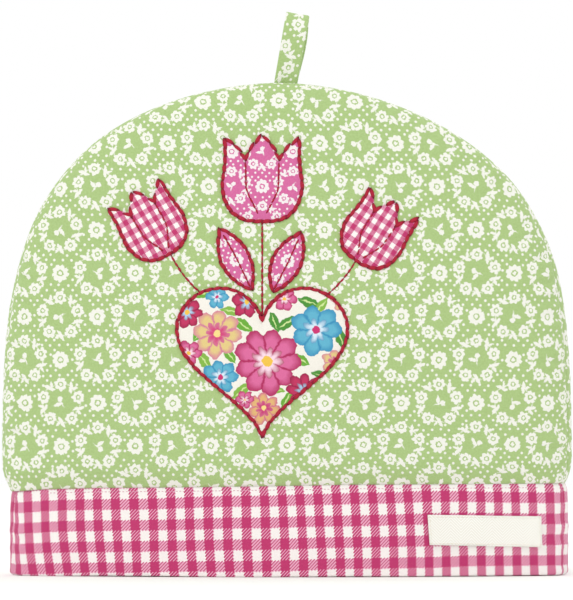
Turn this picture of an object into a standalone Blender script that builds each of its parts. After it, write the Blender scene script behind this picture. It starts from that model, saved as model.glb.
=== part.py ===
"""A wadded tea cosy of green flowered cotton with a gingham band, an applique posy and a hanging loop.

It stands open on its hem. +X is to the viewer's right, the decorated front faces -Y, +Z is up, and the
origin is on the table under the middle of the hem. The shape functions work in millimetres; the meshes
are in metres.

The cosy is two wadded walls, front and back, that meet at the side seams and over the crown. Each wall
is a dome-shaped panel above a straight band. A wall's outer face rolls over a padded edge into the
seam, and its inner face closes on the same seam, so that the cosy is hollow and open below.
"""

from collections import namedtuple
from math import cos, pi, radians, sin, tan

import bmesh
import bpy
import numpy as np

MM = 0.001
GAP = 0.3  # between pieces that touch

# Outline of the cosy from the front
HALF_WIDTH = 165.4
DOME_TOP = 285.6
DOME_FOOT = 20.0  # where the sides start to draw in
RISE_POWER = 4.5
SIDE_POWER = 1.8
CROWN_SHIFT = -4.5  # the crown leans to the left by this
SHIFT_FROM, SHIFT_TO = 170.0, 270.0  # the levels between which the lean comes in
BAND_SEAM = 50.5  # level of the seam between the band and the panel
SHOULDER = 209.0  # level at which the mesh turns from the sides to the crown

# Depth of the cosy
PAD_HALF = 15.0  # half the thickness of the closed cosy a little way in from its rim
OPENED = 37.0  # how much further each wall stands out at the middle of the hem
OPENING_POWER = 1.3  # how the opening fades towards the crown
WALL = 10.0  # wadded wall of a panel

# Padded edge, where a wall rolls over into the side seam
EDGE_REACH = 22.0  # from the rim to the flat of the face
EDGE_FULL = 7.0  # from the seam plane to the outermost line of the edge
SEAM_VALLEY = 3.0  # how deep the seam lies under the rim
VALLEY_ANGLE = 60.0
SEAM_INSIDE = 12.0  # from the rim to where the inner faces meet
INNER_REACH = 30.0

# The seam over the band, and the band itself, which is less puffy than the panel
SEAM_DIP = 4.9  # how far the seam lies under the panel's fullness
PANEL_ROLL = 16.0  # height over which the panel rolls into that seam
BAND_DIP = 3.6  # how far the band lies under the panel's fullness
BAND_ROLL = 12.0
HEM_ROUND_OUTER = 2.0
HEM_ROUND_INNER = 1.0

# Mesh steps
EDGE_STEPS = 7
CROWN_STEPS = 22
PANEL_RISES = (0, 3, 7, 12, 18, 27, 40, 56, 74, 94, 116, 138)  # above the band seam, at the sides
BAND_LEVELS = (0, 0.5, 2, 8, 16, 27, 38, 45)
OUTLINE_SAMPLES = 2000

# Hanging loop: one strip folded over, its two legs side by side in the crown's valley
LOOP_WIDTH = 13.5
LOOP_CLOTH = 1.8
LOOP_TALL = 39.0
LOOP_X = -0.6
LOOP_LEAN = radians(10)
LOOP_FOOT = 284.4  # level of its foot, just clear of the two padded edges
LOOP_SPREAD = 6.5  # how wide the legs stand apart
LOOP_LEGS_APART = 0.5  # between the legs at the foot
LOOP_STEPS = 24

# Label tape on the band
LABEL_LEFT, LABEL_RIGHT = 81.5, 147.5
LABEL_LOW, LABEL_HIGH = 17.0, 35.0
LABEL_CLOTH = 1.0

# Applique posy
PATCH_CLOTH = 1.0
PATCH_CELL = 12.0  # the cloth bends over the wall in cells of this size
ARC_STEPS = 6

Corner = namedtuple("Corner", "x z bulge")  # shares of width and height; bulge of the side that follows
Place = namedtuple("Place", "x z width height turn")  # turn in degrees, to the right

HEART = Place(x=-14, z=80, width=98, height=86, turn=0)
TULIPS = {
    "tulip_centre": Place(x=-14, z=205, width=46, height=49, turn=0),
    "tulip_left": Place(x=-68, z=186, width=37, height=41, turn=-30),
    "tulip_right": Place(x=41, z=182, width=36, height=40, turn=33),
}
LEAVES = {
    "leaf_left": Place(x=-20, z=165, width=16, height=40, turn=-27),
    "leaf_right": Place(x=-8, z=164, width=16, height=38, turn=26),
}
TULIP_HALF = (
    Corner(0.0, 0.0, 0.26),
    Corner(0.5, 0.46, -0.04),
    Corner(0.47, 0.97, 0.1),
    Corner(0.21, 0.7, 0.1),
    Corner(0.0, 1.0, 0.0),
)

PRINT_GREEN = (0.45, 0.64, 0.26)
GINGHAM_PINK = (0.58, 0.09, 0.22)
PRINT_PINK = (0.78, 0.2, 0.42)
CREAM = (0.86, 0.82, 0.72)


def half_width(z):
    rise = np.clip((z - DOME_FOOT) / (DOME_TOP - DOME_FOOT), 0, 1)
    return HALF_WIDTH * (1 - rise**RISE_POWER) ** (1 / SIDE_POWER)


def lean(z):
    """How far the outline is shifted sideways at this level."""
    t = np.clip((z - SHIFT_FROM) / (SHIFT_TO - SHIFT_FROM), 0, 1)
    return CROWN_SHIFT * t * t * (3 - 2 * t)


def opening(x, z):
    """How far a wall stands out because the cosy is open, x measured from the outline's own middle."""
    across = np.clip(1 - (x / np.maximum(half_width(z), 1)) ** 2, 0, 1)
    return OPENED * across * np.clip(1 - (z / DOME_TOP) ** OPENING_POWER, 0, 1)


def dip(z):
    """How far the outer face is drawn in under the panel's fullness, by the band, its seam and the hem."""
    z = np.asarray(z, float)
    over = SEAM_DIP * np.clip(1 - (z - BAND_SEAM) / PANEL_ROLL, 0, 1) ** 2
    under = BAND_DIP + (SEAM_DIP - BAND_DIP) * np.clip(1 - (BAND_SEAM - z) / BAND_ROLL, 0, 1) ** 2
    return np.where(z > BAND_SEAM, over, under) + hem_round(z, HEM_ROUND_OUTER)


def hem_round(z, radius):
    """How far a rounded lower edge lies in from the face above it."""
    below = np.clip(radius - z, 0, radius)
    return radius - np.sqrt(radius**2 - below**2)


def outer_section():
    """The padded edge from the seam to the face: reach in from the rim, height off the seam plane."""
    angle = np.radians(np.linspace(-VALLEY_ANGLE, 90, EDGE_STEPS + 1))
    valley_reach = SEAM_VALLEY / (1 - cos(radians(VALLEY_ANGLE)))
    valley_high = EDGE_FULL / sin(radians(VALLEY_ANGLE))
    below = angle < 0
    reach = np.where(below, valley_reach, EDGE_REACH) * (1 - np.cos(angle))
    high = EDGE_FULL + np.where(below, valley_high, PAD_HALF - EDGE_FULL) * np.sin(angle)
    return reach, high, below


def section_inward(reach, high):
    """Unit steps, in reach and height, that lead from the outer section into the wadding."""
    steps = np.stack([EDGE_REACH - reach, -high], axis=-1)
    return steps / np.linalg.norm(steps, axis=-1, keepdims=True)


def rim_right():
    """The rim from the right end of the band seam to the crown."""
    sides = [(float(half_width(z)), z) for z in BAND_SEAM + GAP / 2 + np.array(PANEL_RISES)]
    turn = np.linspace(0, 1, OUTLINE_SAMPLES) ** 2
    level = DOME_TOP - (DOME_TOP - SHOULDER) * turn[::-1]
    arc = np.stack([half_width(level), level], axis=-1)
    run = np.concatenate([[0], np.cumsum(np.linalg.norm(np.diff(arc, axis=0), axis=1))])
    wanted = np.linspace(0, run[-1], CROWN_STEPS // 2 + 1)
    crown = np.stack([np.interp(wanted, run, arc[:, k]) for k in (0, 1)], axis=-1)
    return np.concatenate([sides, crown])


def rim_inward(points):
    """Unit directions, in x and z, square to the rim."""
    rise = np.clip((points[:, 1] - DOME_FOOT) / (DOME_TOP - DOME_FOOT), 0, 1)
    along_x = SIDE_POWER * (points[:, 0] / HALF_WIDTH) ** (SIDE_POWER - 1) / HALF_WIDTH
    along_z = RISE_POWER * rise ** (RISE_POWER - 1) / (DOME_TOP - DOME_FOOT)
    steps = -np.stack([along_x, along_z], axis=-1)
    return steps / np.linalg.norm(steps, axis=-1, keepdims=True)


def mirrored(half, sign_columns):
    """A half list of points and its mirror image, with the middle point once."""
    other = half[::-1][1:].copy()
    other[..., sign_columns] *= -1
    return np.concatenate([half, other])


def rings(rim, inward):
    """Outer and inner points of the padded edge along a rim, each as rim x section x (x, y, z), y outwards."""
    reach, high, below = outer_section()
    at = rim[:, None, :] + inward[:, None, :] * reach[None, :, None]
    outer = np.stack([at[..., 0], np.broadcast_to(high, at.shape[:2]) + GAP / 2, at[..., 1]], axis=-1)
    outer[..., 1] += np.where(below[None, :], 0, opening(outer[..., 0], outer[..., 2]))

    turn = np.linspace(0, pi / 2, EDGE_STEPS + 1)
    inner_reach = INNER_REACH - (INNER_REACH - SEAM_INSIDE) * np.cos(turn)
    at = rim[:, None, :] + inward[:, None, :] * inner_reach[None, :, None]
    face = PAD_HALF + opening(at[:, -1, 0], at[:, -1, 1]) - WALL
    inner = np.stack([at[..., 0], GAP / 2 + face[:, None] * np.sin(turn), at[..., 1]], axis=-1)

    steps = section_inward(reach, high)
    for ring, draw in ((outer, dip(outer[..., 2])), (inner, -hem_round(inner[..., 2], HEM_ROUND_INNER))):
        ring[..., 0] += inward[:, None, 0] * steps[None, :, 0] * draw
        ring[..., 1] += steps[None, :, 1] * draw
    return outer, inner


def face_depth(x, z):
    """Height of the outer face off the seam plane, inside the padded edge."""
    return GAP / 2 + PAD_HALF + opening(x, z) - dip(z)


def patch_between(bottom, top, right, left):
    """Points (x, z) over the area that four runs of points bound, right to left and from below up."""
    across = np.linspace(0, 1, len(bottom))[None, :, None]
    up = ((right[:, 1] - right[0, 1]) / (right[-1, 1] - right[0, 1]))[:, None, None]
    sides = (1 - across) * right[:, None] + across * left[:, None]
    runs = (1 - up) * bottom[None] + up * top[None]
    corners = (1 - up) * ((1 - across) * right[0] + across * left[0])
    corners = corners + up * ((1 - across) * right[-1] + across * left[-1])
    return sides + runs - corners


def core(ring, thickness):
    """The face inside a padded edge, from the ring's innermost line."""
    edge = ring[:, -1][:, [0, 2]]
    sides = len(PANEL_RISES)
    right, left = edge[: sides + 1], edge[::-1][: sides + 1]
    bottom = np.linspace(right[0], left[0], CROWN_STEPS + 1)
    flat = patch_between(bottom, edge[sides : len(edge) - sides], right, left)
    if thickness:
        deep = GAP / 2 + PAD_HALF - thickness + opening(flat[..., 0], flat[..., 1])
    else:
        deep = face_depth(flat[..., 0], flat[..., 1])
    points = np.stack([flat[..., 0], deep, flat[..., 1]], axis=-1)
    points[:, 0], points[:, -1] = ring[: sides + 1, -1], ring[::-1][: sides + 1, -1]
    points[-1] = ring[sides : len(ring) - sides, -1]
    return points


def wall_row(level):
    """A band's outer and inner points at one level, right to left."""
    rim = np.array([(float(half_width(level)), level)])
    outer, inner = rings(rim, np.array([(-1.0, 0.0)]))
    across = np.linspace(1, -1, CROWN_STEPS + 1)[1:-1]
    rows = []
    for ring, face, round_in in ((outer[0], face_depth, 0), (inner[0], None, HEM_ROUND_INNER)):
        x = across * ring[-1, 0]
        if face:
            deep = face(x, level)
        else:
            deep = GAP / 2 + PAD_HALF - WALL + opening(x, level) + hem_round(level, round_in)
        middle = np.stack([x, deep, np.full_like(x, level)], axis=-1)
        other = ring[::-1].copy()
        other[:, 0] *= -1
        rows.append(np.concatenate([ring, middle, other]))
    return rows


def lattice(bm, points, side):
    """Quads over rows of points (x, y outwards, z) in millimetres; side is -1 for the front wall."""
    rows = [
        [bm.verts.new((x * MM + lean(z) * MM, side * y * MM, z * MM)) for x, y, z in row] for row in points
    ]
    for low, high in zip(rows, rows[1:]):
        for a, b, c, d in zip(low, low[1:], high[1:], high):
            bm.faces.new((a, b, c, d))


def finished(name, bm, collection, material):
    """A closed body out of a bmesh, as an object in the collection."""
    bmesh.ops.remove_doubles(bm, verts=bm.verts, dist=0.000005)
    bmesh.ops.recalc_face_normals(bm, faces=bm.faces)
    mesh = bpy.data.meshes.new(name)
    bm.to_mesh(mesh)
    bm.free()
    mesh.shade_smooth()
    mesh.set_sharp_from_angle(angle=radians(50))
    mesh.materials.append(material)
    obj = bpy.data.objects.new(name, mesh)
    collection.objects.link(obj)
    return obj


def panel(name, side, collection, material):
    """A wadded dome: its outer and inner faces, the seam along its rim, and the seam over the band."""
    half = rim_right()
    directions = rim_inward(half)
    outer, inner = rings(half, directions)
    outer, inner = mirrored(outer, 0), mirrored(inner, 0)
    foot = BAND_SEAM + GAP / 2
    for ring in (outer, inner):
        ring[0, :, 2] = ring[-1, :, 2] = foot
    outer_core, inner_core = core(outer, 0), core(inner, WALL)
    outer_core[0, :, 2] = inner_core[0, :, 2] = foot

    bm = bmesh.new()
    for points in (outer, inner, outer_core, inner_core):
        lattice(bm, points, side)
    lattice(bm, np.stack([outer[:, 0], inner[:, 0]]), side)
    feet = [
        np.concatenate([ring[0], face[0, 1:-1], ring[-1][::-1]])
        for ring, face in ((outer, outer_core), (inner, inner_core))
    ]
    lattice(bm, np.stack(feet), side)
    return finished(name, bm, collection, material)


def band(name, side, collection, material):
    """A wadded strip from the hem to the seam under the panel."""
    rows = [wall_row(level) for level in (*BAND_LEVELS, BAND_SEAM - GAP / 2)]
    outer = np.array([row[0] for row in rows])
    inner = np.array([row[1] for row in rows])
    bm = bmesh.new()
    lattice(bm, outer, side)
    lattice(bm, inner, side)
    for edge in (0, -1):
        lattice(bm, np.stack([outer[edge], inner[edge]]), side)
        lattice(bm, np.stack([outer[:, edge], inner[:, edge]]), side)
    return finished(name, bm, collection, material)


def hanging_loop(collection, material):
    """A strip that rises from the seam, turns over and comes down again, wider apart near its top."""
    legs = (LOOP_CLOTH + LOOP_LEGS_APART) / 2
    bm = bmesh.new()
    rows = []
    for turn in np.linspace(0, 2 * pi, LOOP_STEPS + 1):
        rise = LOOP_TALL * (1 - cos(turn)) / 2
        deep = legs * cos(turn / 2) + LOOP_SPREAD * sin(turn) * sin(turn / 2) ** 1.5
        row = []
        for across in (-0.5, 0.0, 0.5):
            x = LOOP_X + across * LOOP_WIDTH + rise * tan(LOOP_LEAN)
            z = LOOP_FOOT + rise - across * LOOP_WIDTH * sin(LOOP_LEAN) * rise / LOOP_TALL
            row.append(bm.verts.new((x * MM, deep * MM, z * MM)))
        rows.append(row)
    for low, high in zip(rows, rows[1:]):
        for a, b, c, d in zip(low, low[1:], high[1:], high):
            bm.faces.new((a, b, c, d))
    loop = finished("hanging_loop", bm, collection, material)
    cloth = loop.modifiers.new("cloth", "SOLIDIFY")
    cloth.thickness = LOOP_CLOTH * MM
    cloth.offset = 0
    return loop


def laid_on_front(name, bm, depth_at, cloth_mm, collection, material):
    """A flat piece (x, z) laid on the front wall and given its thickness outwards."""
    for vert in bm.verts:
        x, z = vert.co.x / MM, vert.co.z / MM
        vert.co.y = -(depth_at(x - lean(z), z) + GAP) * MM
    bmesh.ops.recalc_face_normals(bm, faces=bm.faces)
    if sum(face.normal.y for face in bm.faces) > 0:
        bmesh.ops.reverse_faces(bm, faces=bm.faces)
    mesh = bpy.data.meshes.new(name)
    bm.to_mesh(mesh)
    bm.free()
    mesh.materials.append(material)
    piece = bpy.data.objects.new(name, mesh)
    collection.objects.link(piece)
    cloth = piece.modifiers.new("cloth", "SOLIDIFY")
    cloth.thickness = cloth_mm * MM
    cloth.offset = 1
    return piece


def label(collection, material):
    """The tape label, which follows the band round towards the side seam."""
    bm = bmesh.new()
    bmesh.ops.create_grid(bm, x_segments=12, y_segments=3, size=0.5)
    for vert in bm.verts:
        across, up = vert.co.x + 0.5, vert.co.y + 0.5
        vert.co.x = (LABEL_LEFT + across * (LABEL_RIGHT - LABEL_LEFT)) * MM
        vert.co.z = (LABEL_LOW + up * (LABEL_HIGH - LABEL_LOW)) * MM
        vert.co.y = 0

    def band_depth(x, z):
        row = wall_row(z)[0][EDGE_STEPS // 2 :]
        return float(np.interp(-x, -row[:, 0], row[:, 1]))

    return laid_on_front("label", bm, band_depth, LABEL_CLOTH, collection, material)


def arc_side(start, end, bulge):
    """Points from start up to, not including, end, along an arc that bulges to the right by a share."""
    start, end = np.array(start), np.array(end)
    along = end - start
    right = np.array([along[1], -along[0]])
    steps = np.linspace(0, 1, ARC_STEPS + 1)[:-1, None]
    return start + along * steps + right * bulge * 4 * steps * (1 - steps)


def outline_through(corners):
    """A closed outline through corners whose sides are arcs."""
    ends = [(c.x, c.z) for c in corners]
    sides = [arc_side(a, b, c.bulge) for a, b, c in zip(ends, ends[1:] + ends[:1], corners)]
    return np.concatenate(sides)


def tulip_outline():
    other = [
        Corner(-corner.x, corner.z, before.bulge)
        for corner, before in zip(TULIP_HALF[::-1][:-1], TULIP_HALF[-2::-1])
    ]
    return outline_through([*TULIP_HALF[:-1], *other])


def leaf_outline():
    return outline_through([Corner(0, 0, 0.24), Corner(0, 1, 0.26)]) * (2.0, 1.0)


def heart_outline():
    """The common heart curve, as shares of its width and height, from its tip."""
    turn = np.linspace(pi, 3 * pi, 41)[:-1]
    x = np.sin(turn) ** 3 / 2
    z = 13 * np.cos(turn) - 5 * np.cos(2 * turn) - 2 * np.cos(3 * turn) - np.cos(4 * turn)
    return np.stack([x, (z - z.min()) / (z.max() - z.min())], axis=-1)


def patch(name, outline, place, collection, material):
    """An applique piece: its outline cut from flat cloth, creased into cells and laid on the panel."""
    turn = radians(place.turn)
    x, z = outline[:, 0] * place.width, outline[:, 1] * place.height
    points = np.stack(
        [place.x + x * cos(turn) + z * sin(turn), place.z - x * sin(turn) + z * cos(turn)], axis=-1
    )
    bm = bmesh.new()
    bm.faces.new([bm.verts.new((a * MM, 0, b * MM)) for a, b in points])
    for axis, normal in ((0, (1, 0, 0)), (1, (0, 0, 1))):
        low, high = points[:, axis].min(), points[:, axis].max()
        for cut in np.arange(low + PATCH_CELL, high - PATCH_CELL / 2, PATCH_CELL):
            bmesh.ops.bisect_plane(
                bm,
                geom=[*bm.verts, *bm.edges, *bm.faces],
                plane_co=[cut * MM * part for part in normal],
                plane_no=normal,
            )
    bmesh.ops.triangulate(bm, faces=bm.faces)
    return laid_on_front(name, bm, face_depth, PATCH_CLOTH, collection, material)


def cloth_material(name, colour):
    material = bpy.data.materials.new(name)
    material.use_nodes = True
    shader = material.node_tree.nodes["Principled BSDF"]
    shader.inputs["Base Color"].default_value = (*colour, 1)
    shader.inputs["Roughness"].default_value = 0.85
    shader.inputs["Metallic"].default_value = 0
    material.diffuse_color = (*colour, 1)
    return material


def main():
    for obj in list(bpy.data.objects):
        bpy.data.objects.remove(obj, do_unlink=True)
    cosy = bpy.data.collections.new("tea_cosy")
    bpy.context.scene.collection.children.link(cosy)

    green = cloth_material("green_print_cotton", PRINT_GREEN)
    gingham = cloth_material("pink_gingham_cotton", GINGHAM_PINK)
    pink = cloth_material("pink_print_cotton", PRINT_PINK)
    cream = cloth_material("cream_flowered_cotton", CREAM)
    tape = cloth_material("cream_herringbone_tape", CREAM)

    for wall, side in (("front", -1), ("back", 1)):
        panel(f"{wall}_panel", side, cosy, green)
        band(f"{wall}_band", side, cosy, gingham)
    hanging_loop(cosy, green)
    label(cosy, tape)
    patch("heart", heart_outline(), HEART, cosy, cream)
    for name, place in TULIPS.items():
        patch(name, tulip_outline(), place, cosy, pink if name == "tulip_centre" else gingham)
    for name, place in LEAVES.items():
        patch(name, leaf_outline(), place, cosy, pink)


main()
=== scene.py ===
# %% [markdown]
# # A wadded tea cosy
#
# A tea cosy is a padded cover that keeps a teapot warm. This one is two wadded walls, sewn together
# round a dome. Each wall is a panel of green flowered cotton above a band of pink gingham. A posy of
# cut-out cotton pieces is sewn on the front, a short tape on the band, and a loop stands on the crown.
#
# The script dresses a measured model, which holds the true size and place of every piece. It works in
# the model's own frame: metres, with +Z up and the decorated front facing -Y.

from collections import namedtuple
from math import cos, pi, radians, sin, tan

import bmesh
import bpy
import numpy as np
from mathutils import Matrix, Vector


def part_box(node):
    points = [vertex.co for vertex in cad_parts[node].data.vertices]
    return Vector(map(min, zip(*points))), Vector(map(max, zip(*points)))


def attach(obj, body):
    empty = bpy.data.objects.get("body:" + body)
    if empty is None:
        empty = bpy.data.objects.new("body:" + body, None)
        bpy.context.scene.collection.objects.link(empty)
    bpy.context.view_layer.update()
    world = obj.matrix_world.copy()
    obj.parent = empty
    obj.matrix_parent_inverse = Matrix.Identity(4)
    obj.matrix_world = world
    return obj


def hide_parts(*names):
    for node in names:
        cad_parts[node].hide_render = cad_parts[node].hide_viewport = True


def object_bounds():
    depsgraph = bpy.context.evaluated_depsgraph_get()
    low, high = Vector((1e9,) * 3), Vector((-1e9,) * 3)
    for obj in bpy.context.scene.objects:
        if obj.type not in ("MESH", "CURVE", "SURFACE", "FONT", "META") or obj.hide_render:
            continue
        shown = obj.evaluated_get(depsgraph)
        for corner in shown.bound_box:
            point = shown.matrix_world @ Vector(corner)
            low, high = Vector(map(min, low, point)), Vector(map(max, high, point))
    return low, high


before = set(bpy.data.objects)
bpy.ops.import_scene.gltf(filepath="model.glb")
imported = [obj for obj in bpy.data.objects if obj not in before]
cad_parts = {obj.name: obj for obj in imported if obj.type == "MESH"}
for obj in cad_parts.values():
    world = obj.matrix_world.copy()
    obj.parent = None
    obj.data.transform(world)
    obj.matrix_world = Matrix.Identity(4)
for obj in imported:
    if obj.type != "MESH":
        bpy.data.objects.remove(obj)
cad_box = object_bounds()
MM = 0.001


def measured(node):
    """Lowest and highest corner of a piece of the measured model, in millimetres."""
    return [np.array(corner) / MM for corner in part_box(node)]


for node_name in sorted(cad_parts):
    low, high = measured(node_name)
    print(f"{node_name}: {np.round(high - low, 1)} mm from {np.round(low, 1)}")

# %% [markdown]
# ## The room, the light and the camera
#
# The cosy stands on a pale floor in soft light from all round, so that the print reads evenly and only
# the padded edges darken. A bright world gives that evenness. Two large lamps, high in front and
# behind, add a little direction, which a world alone can't, and bring out the folds. The camera looks
# straight at the front from far off with a long lens, so that the hem stays straight and the sides
# aren't seen.

# %% Room, light and camera
VIEW_HIGH, VIEW_MIDDLE = 0.3475, 0.1595  # height in metres that the picture takes in at the rim, its middle
RIM_PLANE = -0.006  # where the front's rim lies, from which the camera's distance is taken
CAMERA_AWAY = 6.0
SENSOR = 36.0
FLOOR_RADIUS = 3.0
LAMPS = {  # place, spot that it shines at, size in metres, power in watts
    "high_lamp": ((-0.9, -1.6, 2.6), (0, 0, 0.12), 1.6, 16),
    "back_lamp": ((0.8, 1.8, 2.4), (0, 0, 0.15), 1.6, 9),
}


def linear(hex_colour):
    """An sRGB hex colour as the linear RGBA that Blender's sockets take."""
    srgb = [int(hex_colour[i : i + 2], 16) / 255 for i in (1, 3, 5)]
    return tuple(c / 12.92 if c <= 0.04045 else ((c + 0.055) / 1.055) ** 2.4 for c in srgb) + (1.0,)


def add(tree, kind, *values, out=0, at=None, **settings):
    """A node with its settings; values fill its inputs in order, or by key through at. Sockets are linked."""
    node = tree.nodes.new(kind)
    for name, value in settings.items():
        setattr(node, name, value)
    for key, value in {**dict(enumerate(values)), **(at or {})}.items():
        if isinstance(value, bpy.types.NodeSocket):
            tree.links.new(value, node.inputs[key])
        elif value is not None:
            node.inputs[key].default_value = value
    return node.outputs[out] if node.outputs else node


def link_to_scene(name, data):
    made = bpy.data.objects.new(name, data)
    bpy.context.scene.collection.objects.link(made)
    return made


def lamp(name, place, aim, size, watts):
    data = bpy.data.lights.new(name, "AREA")
    data.shape, data.size, data.energy = "DISK", size, watts
    made = link_to_scene(name, data)
    made.location = place
    made.rotation_euler = (Vector(aim) - Vector(place)).to_track_quat("-Z", "Y").to_euler()
    made.visible_camera = False


scene = bpy.context.scene
scene.view_settings.view_transform = "Standard"
room = bpy.data.worlds.new("bright_room")
room.use_nodes = True
room.node_tree.nodes["Background"].inputs["Color"].default_value = linear("#FFFFFF")
room.node_tree.nodes["Background"].inputs["Strength"].default_value = 1.0
scene.world = room

floor_mesh = bpy.data.meshes.new("floor")
floor_sheet = bmesh.new()
bmesh.ops.create_circle(floor_sheet, cap_ends=True, segments=96, radius=FLOOR_RADIUS)
floor_sheet.to_mesh(floor_mesh)
floor_sheet.free()
floor = link_to_scene("floor", floor_mesh)
paper = bpy.data.materials.new("pale_matt_paper")  # a matt paper sweep: no gloss, only soft shadows
paper.use_nodes = True
paper_shader = paper.node_tree.nodes["Principled BSDF"]
paper_shader.inputs["Base Color"].default_value = linear("#F7F7F5")
paper_shader.inputs["Roughness"].default_value = 1.0
paper_shader.inputs["Specular IOR Level"].default_value = 0.0
floor_mesh.materials.append(paper)

for lamp_name, lamp_settings in LAMPS.items():
    lamp(lamp_name, *lamp_settings)

camera_data = bpy.data.cameras.new("straight_on")
camera_data.sensor_width = SENSOR
camera_data.lens = SENSOR * CAMERA_AWAY / VIEW_HIGH
camera_data.clip_start, camera_data.clip_end = 0.1, 40
camera = link_to_scene("straight_on", camera_data)
camera.location = (0, RIM_PLANE - CAMERA_AWAY, VIEW_MIDDLE)
camera.rotation_euler = (pi / 2, 0, 0)
scene.camera = camera
print(f"lens {camera_data.lens:.0f} mm at {CAMERA_AWAY} m")

# %% [markdown]
# ## The form of the walls
#
# Wadding makes each wall full and rounds it over at its edges, where it dives into the seam. Such a
# form could be simulated, but it was already worked out by rule for the measured model: an outline, a
# rounded edge section that runs along it, and a face that bows out because the cosy stands open. The
# same rule is used here on a mesh about five times as fine, so that both agree and the cloth has room
# for its small folds. Distances in these cells are in millimetres.

# %% The outline and the depth of a wall
GAP = 0.3  # between the two walls at the seam
SEAM_GAP = 0.04  # half the gap between a panel and its band
DOME_TOP, DOME_FOOT = 285.6, 20.0  # the sides run straight up to the foot of the dome
HALF_WIDTH = float(cad_box[1].x - cad_box[0].x) / MM / 2
RISE_POWER, SIDE_POWER = 4.5, 1.8
CROWN_SHIFT, SHIFT_FROM, SHIFT_TO = -4.5, 170.0, 270.0  # the crown lies a little to the left
# Slack cloth doesn't keep to its lines. Each pair below gives places along the cosy, and how far off
# the outline, the seam or the hem lies there.
SWAY = ([0, 44, 62, 150, 205, 230, 245, 275], [1.5, 1.5, 0.3, 0.2, 0.9, 1.9, 1.4, 0.0])
SEAM_CLIMB = ([-160, -140, -110, -60, 0, 40, 160], [-1.9, -0.4, 0.5, 1.1, 2.0, 2.7, 2.9])
HEM_LIFT = (
    [-150, -137, -108, -80, -36, -20, 20, 37, 65, 140, 165],
    [0, 0, 0.6, 0.6, 0.1, 0.1, 0.4, 0.5, 0.3, 0.5, 0.1],
)
HEM_GIVE = 5.0  # the height over which a lifted hem fades out
BAND_SEAM, SHOULDER = 50.5, 209.0
CLIMB_ENDS = 95.0  # the level at which the seam's climb has faded out
PAD_HALF, WALL = 15.0, 10.0  # how high a wall stands inside its padded edge, and how thick it is
OPENED, OPENING_POWER = 37.0, 1.3  # how much further the foot stands out, and how that fades upwards
EDGE_REACH, EDGE_FULL = 22.0, 7.0  # how far in the padded edge rounds over, and how high its rim lies
SEAM_VALLEY, VALLEY_ANGLE = 3.0, radians(60)  # how far in from the rim the seam lies, and how steep
SEAM_INSIDE, INNER_REACH = 12.0, 30.0  # how far in the inner cloth leaves the seam and is full
SEAM_DIP, PANEL_ROLL = 4.9, 16.0  # how deep the face sinks to the band's seam, and from how far above
BAND_DIP, BAND_ROLL = 3.6, 12.0  # how much flatter the band is, and how far below the seam that starts
HEM_ROUND_OUTER, HEM_ROUND_INNER = 1.1, 0.8


def half_width(z):
    rise = np.clip((z - DOME_FOOT) / (DOME_TOP - DOME_FOOT), 0, 1)
    return HALF_WIDTH * (1 - rise**RISE_POWER) ** (1 / SIDE_POWER)


def lean(z):
    """How far the outline is shifted sideways at this level, with the slack of hand-sewn cloth."""
    t = np.clip((z - SHIFT_FROM) / (SHIFT_TO - SHIFT_FROM), 0, 1)
    return CROWN_SHIFT * t * t * (3 - 2 * t) + np.interp(z, *SWAY)


def settled(x, z):
    """Levels as sewn: the seam over the band climbs a little to the right."""
    share = np.clip(z / BAND_SEAM, 0, 1) * np.clip((CLIMB_ENDS - z) / (CLIMB_ENDS - BAND_SEAM), 0, 1)
    return z + np.interp(x, *SEAM_CLIMB) * share


def opening(x, z):
    """How far a wall stands out because the cosy is open."""
    across = np.clip(1 - (x / np.maximum(half_width(z), 1)) ** 2, 0, 1)
    return OPENED * across * np.clip(1 - (z / DOME_TOP) ** OPENING_POWER, 0, 1)


def rounded(z, radius):
    """How far a rounded lower edge lies in from the face above it."""
    return radius - np.sqrt(radius**2 - np.clip(radius - z, 0, radius) ** 2)


def dip(z):
    """How far the face is drawn in by the band, its seam and the hem."""
    over = SEAM_DIP * np.clip(1 - (z - BAND_SEAM) / PANEL_ROLL, 0, 1) ** 2
    under = BAND_DIP + (SEAM_DIP - BAND_DIP) * np.clip(1 - (BAND_SEAM - z) / BAND_ROLL, 0, 1) ** 2
    return np.where(z > BAND_SEAM, over, under) + rounded(z, HEM_ROUND_OUTER)


def face_depth(x, z):
    """Height of the outer face off the seam plane, inside the padded edge."""
    return GAP / 2 + PAD_HALF + opening(x, z) - dip(z)


def cloth_run(x, z):
    """Length of cloth from the middle to x, along the bowed face."""
    bow = 2 * OPENED * np.clip(1 - (z / DOME_TOP) ** OPENING_POWER, 1e-4, 1) / half_width(z) ** 2
    return x / 2 * np.sqrt(1 + (bow * x) ** 2) + np.arcsinh(bow * x) / (2 * bow)


print(f"width {2 * HALF_WIDTH:.1f}, depth at the hem {2 * face_depth(0.0, 5.0):.1f} mm")

# %% [markdown]
# ## The posy's places
#
# The pieces of the posy are cut from flat cloth, so each is an outline in the plane, placed on the
# front. The outlines come before the walls, because the stitching that holds the pieces down also
# draws the wadding in along their edges, and the walls have to show that.

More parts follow.
